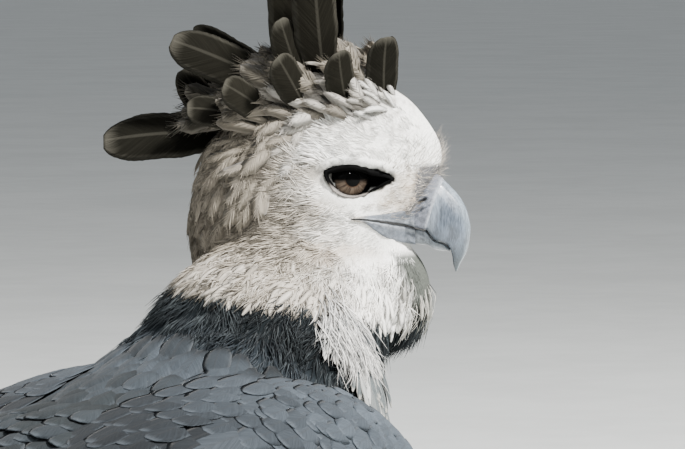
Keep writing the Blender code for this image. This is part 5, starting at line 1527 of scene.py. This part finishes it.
def trunk_feathers():
    """Rows of rounded contour feathers round the trunk, each row half a step on from the last."""
    total = lengths(BODY)[-1]
    spots = []
    for i, s in enumerate(np.arange(148, total + 14, 11.5)):
        row = smooth(np.array((min(s, total),)), lengths(BODY), BODY)[0]
        ring = max(10, int(TAU * (row[2] + (row[3] + row[4]) / 2) / 2 / 12.0))
        phi = (np.arange(ring) + 0.5 * (i % 2)) * TAU / ring + chance.normal(0, 0.025, ring)
        spots.append(np.column_stack([s + chance.normal(0, 1.6, ring), (phi + math.pi) % TAU - math.pi]))
    s, phi = np.concatenate(spots).T
    hidden = (np.abs(phi) > 0.95) & (np.abs(phi) < 1.75) & (s > 190) & (s < 400)
    hidden |= above_head_plane(tube_point(BODY, np.minimum(s, total - 4), phi)) > -14
    s, phi = s[~hidden], phi[~hidden]
    point, face, lie = tube_frame(BODY, np.minimum(s, total - 4), phi, -5.0)
    count = len(s)
    lie = turned(lie, face, wavy(point, 0.12, 50, 83, 0.07))
    front = step_between(190, 130, s)
    length = (33 - 9 * front) * chance.uniform(0.9, 1.12, count)
    half = (9.6 - 2.4 * front) * chance.uniform(0.88, 1.12, count)
    rise = 0.27 + chance.normal(0, 0.03, count)
    grid = laid(point, lie, face, length, half, rise, rise * 0.62, chance.normal(0, 0.06, count), ROUND_TIP,
                5, 0.16, 0.22, 0.03)
    tint = markings(point + face * 4) * (1 + 0.10 * chance.normal(size=count))[:, None]
    patch = np.stack([phi / TAU * 0.97 + 0.5, np.clip(s / (total + 20), 0.01, 0.99)], -1)
    upper = np.abs(phi) < 1.5
    for title, pick, material in (("back_feathers", upper, CONTOUR), ("under_feathers", ~upper, SOFT)):
        piece(title, blades(grid[pick], 0.8, ROUND_TIP, tint[pick], patch[pick]), material, "body_feathers")


def wing_edges(s):
    """Angles of the folded wing's upper and lower edges at a distance along it."""
    return np.interp(s, WING_S, WING_TOP), np.interp(s, WING_S, WING_LOW)


def wing_swell(s, phi):
    """Outward thickness of the folded arm under its coverts: thick(s) (4 o (1 - o))^0.35 across it."""
    top, low = wing_edges(s)
    o = np.clip((phi - top) / (low - top), 0, 1)
    return np.interp(s, WING_S, WING_THICK) * np.clip(4 * o * (1 - o), 0, 1) ** 0.35


def hugged(lift, s, phi):
    """Outward reach drawn in towards the back along the wing's upper edge, where the mantle lies over it."""
    return (lift + 6) * (0.10 + 0.90 * step_between(-0.26, 0.50, phi - wing_edges(s)[0])) - 6


def wing_patch(s, phi):
    """Place on an unwrap of the folded wing: angle round it and distance along it."""
    long, wide = WING_PATCH
    return np.stack([np.clip(phi / wide, 0.02, 0.98), np.clip(s / long, 0.02, 0.98)], -1)


def wing_grids(s, phi, out, half, tilt, t, columns, blunt, ragged):
    """Grids of vanes on the folded wing, from pairs of root and tip values of s, phi and out."""
    at, turn = (ends[0][:, None] + (ends[1] - ends[0])[:, None] * t for ends in (s, phi))
    rise = out[0][:, None] + (out[1] - out[0])[:, None] * np.clip(t / 0.5, 0, 1)
    step = tube_point(WING_LINE, at, turn + 0.01) - tube_point(WING_LINE, at, turn - 0.01)
    per_radian = np.linalg.norm(step, axis=-1) / 0.02
    uneven = 1 + ragged * chance.normal(size=at.shape) * (t > 0.3)
    wide = half[:, None] * outline(t, blunt)[None, :] * uneven
    j = np.linspace(-1, 1, columns)
    swing = turn[:, :, None] + (wide / per_radian)[:, :, None] * j
    lift = rise[:, :, None] + wide[:, :, None] * (tilt * j - 0.05 * j**2)
    at = at[:, :, None]
    return tube_point(WING_LINE, at, swing, hugged(lift, at, swing))


def tier(count, s_root, s_tip, phi_root, phi_tip, out, half, tilt, step, t_count, columns):
    """One tier of vanes from the lowest to the highest; each pair of numbers runs along the tier."""
    share = np.linspace(0, 1, count)
    ends = (s_root, s_tip, phi_root, phi_tip)
    root, tip, turn_root, turn_tip = (low + (high - low) * share for low, high in ends)
    tip = tip + chance.uniform(-2, 2, count)
    turn = np.radians(turn_root), np.radians(turn_tip)
    level = [reach + step * np.arange(count) for reach in out]
    t = np.linspace(0, 1, t_count)
    half = half * chance.uniform(0.96, 1.04, count)
    grid = wing_grids((root, tip), turn, level, half, tilt, t, columns, 0.5, 0.015)
    return grid, t, wing_patch(root, turn[0])


def wing_rows(stations, top, low, reach, spacing, first, spread):
    """Places s and phi of rows of small feathers, each half a step on from the last, and their rows."""
    s, phi, number = [], [], []
    for i, (at, high_edge, low_edge, wide) in enumerate(zip(stations, top, low, reach)):
        count = max(3, int((low_edge - high_edge) * wide / spacing))
        s.append(at + chance.normal(0, spread, count))
        spot = high_edge + (low_edge - high_edge) * (np.arange(count) + first + 0.5 * (i % 2)) / count
        phi.append(spot + chance.normal(0, 0.012, count))
        number.append(np.full(count, i))
    return np.concatenate(s), np.concatenate(phi), np.concatenate(number)


def covert_rows(s_from, s_to, pitch, spacing, long, half, lift):
    """Rows of small rounded coverts over the arm, on its swell."""
    stations = np.arange(s_from, s_to, pitch)
    reach = np.interp(stations, lengths(WING_LINE), WING_LINE[:, 2])
    s, phi, _ = wing_rows(stations, *wing_edges(stations), reach, spacing, 0.25, 1.4)
    end = s + long * chance.uniform(0.9, 1.15, len(s))
    low = wing_swell(s, phi) - 1.5
    high = np.maximum(wing_swell(end, phi) + lift + chance.uniform(0, 1.2, len(s)), low)
    tip = phi - 0.03 + chance.normal(0, 0.02, len(s))
    half = half * chance.uniform(0.88, 1.12, len(s))
    grid = wing_grids((s, end), (phi, tip), (low, high), half, 0.05, ROUND_TIP, 5, 0.22, 0.03)
    return grid, ROUND_TIP, wing_patch(s, phi)


def scapular_rows():
    """Rows of broad rounded feathers from the shoulder back along the wing's upper edge, over its coverts."""
    stations = np.arange(318, 56, -9.5)
    top, low = (np.radians(np.interp(stations, SCAPULAR_S, edge)) for edge in (SCAPULAR_TOP, SCAPULAR_LOW))
    s, phi, number = wing_rows(stations, top, low, np.full(len(stations), 100), 12.5, 0.2, 1.6)
    level = 10.5 + 0.07 * number
    long = np.interp(s, (60, 310), (32, 56)) * chance.uniform(0.9, 1.12, len(s))
    half = np.interp(s, (60, 310), (8.2, 10.5)) * chance.uniform(0.88, 1.1, len(s))
    rise = level + 3.6 + chance.uniform(0, 1.6, len(s))
    tip = phi - 0.04 + chance.normal(0, 0.02, len(s))
    grid = wing_grids((s, s + long), (phi, tip), (level - 4.0, rise), half, 0.05, BROAD_TIP, 5, 0.22, 0.03)
    return grid, BROAD_TIP, wing_patch(s, phi)


def varied(count, colour, other, spread=0.09):
    """Colours of count feathers, each somewhere between two and a little lighter or darker."""
    return mix(colour, other, chance.random(count)) * (1 + spread * chance.normal(size=(count, 1)))


def make_wing(side, word):
    """Folded wing: core, primaries, secondaries, greater, median and lesser coverts, and scapulars."""
    s = np.linspace(13, 262, 60)[:, None]
    top, low = wing_edges(s)
    phi = top + (low - top) * np.linspace(0.02, 0.98, 30)
    outer = tube_point(WING_LINE, s, phi, hugged(wing_swell(s, phi) - 1.6, s, phi))
    rings = np.concatenate([outer, tube_point(WING_LINE, s, phi, -12.5)[:, ::-1]], axis=1)
    core = lofted(rings, tint=np.tile(linear((58, 64, 68)), (rings.size // 3, 1)))
    piece(f"wing_core_{word}", mirrored(core, side), UNDERDOWN, "wing_feathers", f"wing_{word}")
    flight = []
    for row, colours in ((PRIMARIES, ((44, 47, 49), (60, 63, 64))),
                         (SECONDARIES, ((58, 63, 66), (74, 80, 83)))):
        grid, t, patch = tier(*row)
        flight.append((grid, t, patch, colours))
    flight = [blades(grid, 0.8, t, varied(len(grid), *colours), patch, 0.03)
              for grid, t, patch, colours in flight]
    piece(f"flight_feathers_{word}", mirrored(gathered(flight), side), FLIGHT, "wing_feathers")
    tiers = [tier(*row) for row in COVERTS]
    coverts = [blades(grid, 0.8, t, varied(len(grid), (44, 49, 54), (36, 40, 44)), patch, 0.012)
               for grid, t, patch in tiers]
    rows = [*(covert_rows(*row) for row in SMALL_COVERTS), scapular_rows()]
    for grid, t, patch in rows:
        # Lighter at the shoulder and darker back along the wing: partly the darker rear feathers, partly
        # painted light on the shoulder and painted shade behind it.
        forward = 1.35 - 1.05 * step_between(20, 150, patch[:, 1:] * WING_PATCH[0])
        coverts.append(blades(grid, 0.7, t, varied(len(grid), MANTLE, (43, 48, 53)) * forward, patch))
    piece(f"wing_coverts_{word}", mirrored(gathered(coverts), side), CONTOUR, "wing_feathers")


def make_tail():
    """Twelve banded feathers over one another on the rump, with rows of coverts above and below."""
    down = np.array((-math.cos(TAIL_FALL), 0, -math.sin(TAIL_FALL)))
    up = np.array((-math.sin(TAIL_FALL), 0, math.cos(TAIL_FALL)))
    left = np.array((0, 1.0, 0))
    share = np.linspace(0, 1, 24)
    wide = rows_of(TAIL_WIDE, share * 6) - 2.5
    tall = rows_of(TAIL_TALL, share * 6) - 2.0
    line = TAIL_ROOT + down * (share * 94 - 24)[:, None]
    rings = hoops(line, up, tall[:, None], left, wide[:, None], around(36))
    above = ((rings.reshape(-1, 3) - TAIL_ROOT) @ up)[:, None] > 0
    core = lofted(rings, tint=np.where(above, linear(SLATE), linear(BELLY)))
    piece("tail_root", core, UNDERDOWN, "tail_feathers", "tail")
    t = np.linspace(0, 1, 40)
    i, side = np.tile(np.arange(6.0), 2), np.repeat((1.0, -1.0), 6)
    order = i + np.where(side > 0, 0.5, 0.0)
    y = side[:, None] * (3.5 + 5.4 * i[:, None] * (0.35 + 0.65 * t))
    uneven = 1 + 0.012 * chance.normal(size=(12, 40))
    half = 27.0 * outline(t, 0.45)[None] * (1 - 0.05 * i[:, None]) * uneven
    length = TAIL_LENGTH - 2.2 * i**1.6 + chance.uniform(-3, 1, 12)
    spot = (TAIL_ROOT + down * (18 + t[None, :, None] * (length - 18)[:, None, None]) + left * y[..., None]
            + up * (2.5 - 1.75 * order)[:, None, None])
    grid = spread_out(spot, left[None], up[None], half, 0.03, 7)
    patch = np.stack([np.linspace(0.1, 0.9, 12), np.full(12, 0.5)], -1)
    body = blades(grid, 1.0, t, varied(12, (46, 48, 50), (56, 58, 58)), patch, 0.06)
    piece("tail_vanes", body, TAIL_VANE, "tail_feathers")
    t = np.linspace(0, 1, 16)
    for title, above, drop, longs, material, colours in (
            ("tail_coverts_upper", 1, 0, (108, 84, 62), CONTOUR, ((62, 66, 69), (78, 83, 86))),
            ("tail_coverts_under", -1, -8.5, (140, 106, 62), SOFT, (BELLY, (206, 203, 196)))):
        bodies = []
        for row, (start, long) in enumerate(zip((14, -4, -22), longs)):
            i = np.arange(7.0) - 3 + 0.25 * (row % 2)
            order = 3 - np.abs(i) + np.where(i > 0, 0.5, 0)
            length = (long - 6 * np.abs(i)) * chance.uniform(0.95, 1.04, 7)
            half = 11.5 * outline(t, 0.5)[None] * (1 + 0.02 * chance.normal(size=(7, 16)))
            level = above * (10.5 + 2.4 * row - (5.0 + row) * t[None, :] + 1.2 * order[:, None]) + drop
            spot = (TAIL_ROOT + down * (start + t[None, :, None] * length[:, None, None])
                    + left * (i * 10.5)[:, None, None] + up * level[..., None])
            grid = spread_out(spot, left[None], above * up[None], half, 0.2, 7)
            patch = np.stack([0.5 + i / 10, np.full(7, 0.3 + 0.2 * row)], -1)
            bodies.append(blades(grid, 0.8, t, varied(7, *colours), patch, 0.012))
        piece(title, gathered(bodies), material, "tail_feathers")


# Legs

def thigh_feathers(side, word):
    """Rows of soft barred feathers down the thigh, each row half a step on from the last."""
    rows, ring = 20, 21
    share = np.repeat(np.linspace(-0.02, 0.97, rows), ring) + chance.normal(0, 0.006, rows * ring)
    turn = (np.tile(np.arange(ring), rows) + 0.5 * np.repeat(np.arange(rows) % 2, ring)) * TAU / ring
    size = smooth(np.clip(share, 0, 1.06), THIGH[:, 0], THIGH[:, 1:]) - 3.5
    axis = unit(np.diff(leg_line(side, HIP, HOCK, (0, 1)), axis=0)[0])
    front = unit(np.array((1.0, 0, 0)) - axis * axis[0])
    out = np.cross(axis, front)
    face = unit(front * np.cos(turn)[:, None] + out * np.sin(turn)[:, None])
    root = (leg_line(side, HIP, HOCK, share) + front * (size[:, 0] * np.cos(turn))[:, None]
            + out * (size[:, 1] * np.sin(turn))[:, None])
    count = len(root)
    stations = np.linspace(0, 1.06, 40)
    narrowing = np.gradient(smooth(stations, THIGH[:, 0], THIGH[:, 1]), 1.06 / 39 * 145)
    lie = unit(axis + face * np.interp(share, stations, narrowing)[:, None])
    face = flat_on(face, lie)
    length = (26 - 8 * share) * chance.uniform(0.9, 1.1, count)
    half = np.maximum(size[:, 0] * 0.21, 3.6) * chance.uniform(0.9, 1.1, count)
    t = np.linspace(0, 1, 8)
    grid = laid(root, lie, face, length, half, np.full(count, 0.22), np.full(count, 0.14),
                chance.normal(0, 0.05, count), t, 5, 0.16, 0.5, 0.03)
    tint = varied(count, (228, 225, 217), (206, 202, 193), 0.03)
    patch = np.stack([turn / (TAU * 1.1) + 0.02, np.clip(share * 0.9 + 0.05, 0, 1)], -1)
    piece(f"thigh_feathers_{word}", blades(grid, 0.7, t, tint, patch), BARRED, "thigh_feathers")


def make_shank(side, word):
    """Round shank with broad plates on its front and small ones behind: radius + rise along each plate."""
    share = np.linspace(-0.02, 1.03, 170)
    radius = smooth(share, SHANK[:, 0], SHANK[:, 1])[:, None]
    turn = around(56)
    part = (share * SHANK_PLATES) % 1.0
    plate = (step_between(0.0, 0.25, part) * (1 - 0.3 * part) + 0.5 * part**3)[:, None]
    front = step_between(0.15, 0.55, np.cos(turn))
    back = step_between(-0.55, -0.85, np.cos(turn))
    rise = 1.0 * plate * front + 0.5 * plate * back
    rings = hoops(leg_line(side, HOCK, ANKLE, share), np.array((1.0, 0, 0)), radius * 1.04 - 0.5 + rise,
                  np.array((0, 1.0, 0)), radius - 0.4 + 0.2 * rise, turn)
    plated = np.maximum(front, back)
    cells = np.broadcast_to(1 - 0.9 * plated, rings.shape[:2]).ravel()
    seam = (step_between(0.10, 0.0, part) + step_between(0.93, 1.0, part))[:, None] * plated
    body = lofted(rings, tint=mix(*LEG_SKIN, 0.8 * np.clip(seam, 0, 1).ravel()), cells=cells)
    piece(f"shank_scaled_{word}", body, SCALED, "scaled_skin", f"shank_{word}")


def toe_line(side, degrees, length, root_radius, end_radius, t):
    """Knuckled line of one toe along the floor, as its solid has it."""
    heading = side * math.radians(degrees) + side * FOOT_TURN
    ahead = np.array((math.cos(heading), math.sin(heading), 0))
    radius = root_radius + (end_radius - root_radius) * t
    knuckles = 0.09 * np.cos(t * TAU * 2.5)
    line = np.array((ANKLE[0], side * ANKLE[1], 0.0)) + ahead * (4 + t * length)[:, None]
    line[:, 2] = radius * (0.9 - 0.8 * knuckles) + 9.0 * (1 - t) ** 3 - EYE_HEIGHT
    return line, radius * (1 + knuckles), ahead


def toe_body(side, degrees, length, root_radius, end_radius):
    """Rings of one toe with overlapping plates on top and pads below, its cells and its seams."""
    t = np.linspace(0, 1, 90)
    line, radius, _ = toe_line(side, degrees, length, root_radius, end_radius, t)
    close = np.sqrt(np.clip(1 - np.clip((t - 0.93) / 0.07, 0, 1) ** 2, 0.12, 1))
    height = np.sin(around(32))
    part = (t * length / TOE_PLATE) % 1.0
    top = step_between(0.05, 0.5, height)
    plate = (step_between(0, 0.22, part) * (1 - 0.35 * part) + 0.5 * part**3)[:, None] * top
    pads = 0.5 * np.sin(t * TAU * 2.5)[:, None] * step_between(-0.2, -0.8, height)
    rings = tube_rings(line, radius * close, 32)
    middle = rings.mean(1, keepdims=True)
    rings = middle + (rings - middle) * (1 + (1.1 * plate + pads - 0.3)[..., None] / radius[:, None, None])
    seam = (step_between(0.10, 0.0, part) + step_between(0.92, 1.0, part))[:, None] * top
    return rings, 1 - 0.9 * top[None] * np.ones((90, 1)), seam


def make_foot(side, word):
    """Ball of the foot and four toes, flattened where they rest on the floor."""
    ball = np.array((ANKLE[0] + 3, side * ANKLE[1], 13 - EYE_HEIGHT)) + unit_ball() * (18, 18, 15.5)
    parts = [(ball, np.ones(ball.shape[:2]), np.zeros(ball.shape[:2]))]
    parts += [toe_body(side, *toe) for _, *toe in TOES]
    bodies = []
    for rings, cells, seam in parts:
        rings[..., 2] = np.maximum(rings[..., 2], -EYE_HEIGHT + 0.05)
        tint = mix(*TOE_SKIN, 0.8 * np.clip(seam, 0, 1).ravel())
        bodies.append(lofted(rings, tint=tint, cells=cells.ravel()))
    piece(f"foot_scaled_{word}", gathered(bodies), SCALED, "scaled_skin", f"foot_{word}")


def make_claw(side, word, name, toe):
    """Hooked claw on its toe's end: an arc of its chord through the claw's bend, narrowing to a point."""
    line, _, ahead = toe_line(side, *toe, np.array((0.97, 1.0)))
    chord, thick = CLAWS[name]
    arc = chord / (2 * math.sin(CLAW_BEND / 2))
    t = np.linspace(0, 1, 60)
    angle = CLAW_START - CLAW_BEND * t
    rise = arc * (np.cos(angle) - math.cos(CLAW_START))
    root = line[-1] + ahead * 1.5
    root[2] = line[-1][2] + 1.5
    width = thick * (1 - t) ** 0.75 + 0.35
    lift = max(0.0, -(root[2] + EYE_HEIGHT + np.min(rise - width)) + 0.6)
    path = root + ahead * (arc * (math.sin(CLAW_START) - np.sin(angle)))[:, None]
    path[:, 2] += rise + lift * t
    tint = np.repeat(mix((46, 44, 42), (14, 14, 15), step_between(0, 0.5, t)), 28, axis=0)
    body = lofted(tube_rings(path, width * 0.80, 28, width * 0.98), tint=tint)
    piece(f"talon_{name}_{word}", body, CLAW, "claw", f"claw_{name}_{word}")


make_crest()
crown_scales()
crown_fluff()
lore_bristles()
make_ruff()
bib()
trunk_feathers()
make_wing(1, "left")
make_wing(-1, "right")
make_tail()
for side, word in ((1, "left"), (-1, "right")):
    thigh_feathers(side, word)
    make_shank(side, word)
    make_foot(side, word)
    for name, *toe in TOES:
        make_claw(side, word, name, toe)


# Studio

def make_stage():
    """Wide flat floor: rings of points about z, each triangle facing up."""
    rings = hoops(np.zeros((8, 3)), np.array((1.0, 0, 0)), FLOOR_RINGS[:, None], np.array((0, 1.0, 0)),
                  FLOOR_RINGS[:, None], around(48))
    faces = ring_faces(8, 48)[:-48]
    mesh = bpy.data.meshes.new("studio_floor")
    mesh.from_pydata(rings.reshape(-1, 3).tolist() + [(0, 0, 0)], [], faces.tolist())
    if mesh.polygons[0].normal.z < 0:
        mesh.flip_normals()
    mesh.shade_smooth()
    mesh.materials.append(stage_finish())
    floor = bpy.data.objects.new("studio_floor", mesh)
    bpy.context.scene.collection.objects.link(floor)


def make_camera():
    """Long lens, three metres off, level with the head and a little above it; its aim and its axes."""
    a, e = (math.radians(angle) for angle in VIEW)
    back = np.array((math.sin(a) * math.cos(e), -math.cos(a) * math.cos(e), math.sin(e)))
    right = np.array((math.cos(a), math.sin(a), 0.0))
    up = np.cross(back, right)
    aim = (to_head((-0.5, -28.2, -0.6)) + SHIFT) * MM - right * 0.0047 - up * 0.02225
    data = bpy.data.cameras.new("camera")
    data.sensor_width = SENSOR
    data.lens = SENSOR * CAMERA_FAR / VIEW_WIDE
    data.clip_end = 200.0
    camera = bpy.data.objects.new("camera", data)
    place = np.eye(4)
    place[:3] = np.stack([right, up, back, aim + back * CAMERA_FAR], -1)
    camera.matrix_world = Matrix(place.tolist())
    bpy.context.scene.collection.objects.link(camera)
    bpy.context.scene.camera = camera
    return aim, right, up, back


def make_light():
    """Round lamps set about the camera's aim, and an even pale sky."""
    aim, right, up, back = make_camera()
    for title, aside, above, behind, size, power, colour in LAMPS:
        data = bpy.data.lights.new(title, "AREA")
        data.shape = "DISK"
        data.size = size
        data.energy = power
        data.color = colour
        made = bpy.data.objects.new(title, data)
        away = right * aside + up * above + back * behind
        turn = Vector(away).to_track_quat("Z", "Y").to_matrix().to_4x4()
        made.matrix_world = Matrix.Translation(Vector(aim + away)) @ turn
        bpy.context.scene.collection.objects.link(made)
    world = bpy.data.worlds.new("studio")
    world.use_nodes = True
    sockets = world.node_tree.nodes["Background"].inputs
    sockets["Color"].default_value = SKY
    sockets["Strength"].default_value = SKY_STRENGTH
    bpy.context.scene.world = world


make_stage()
make_light()
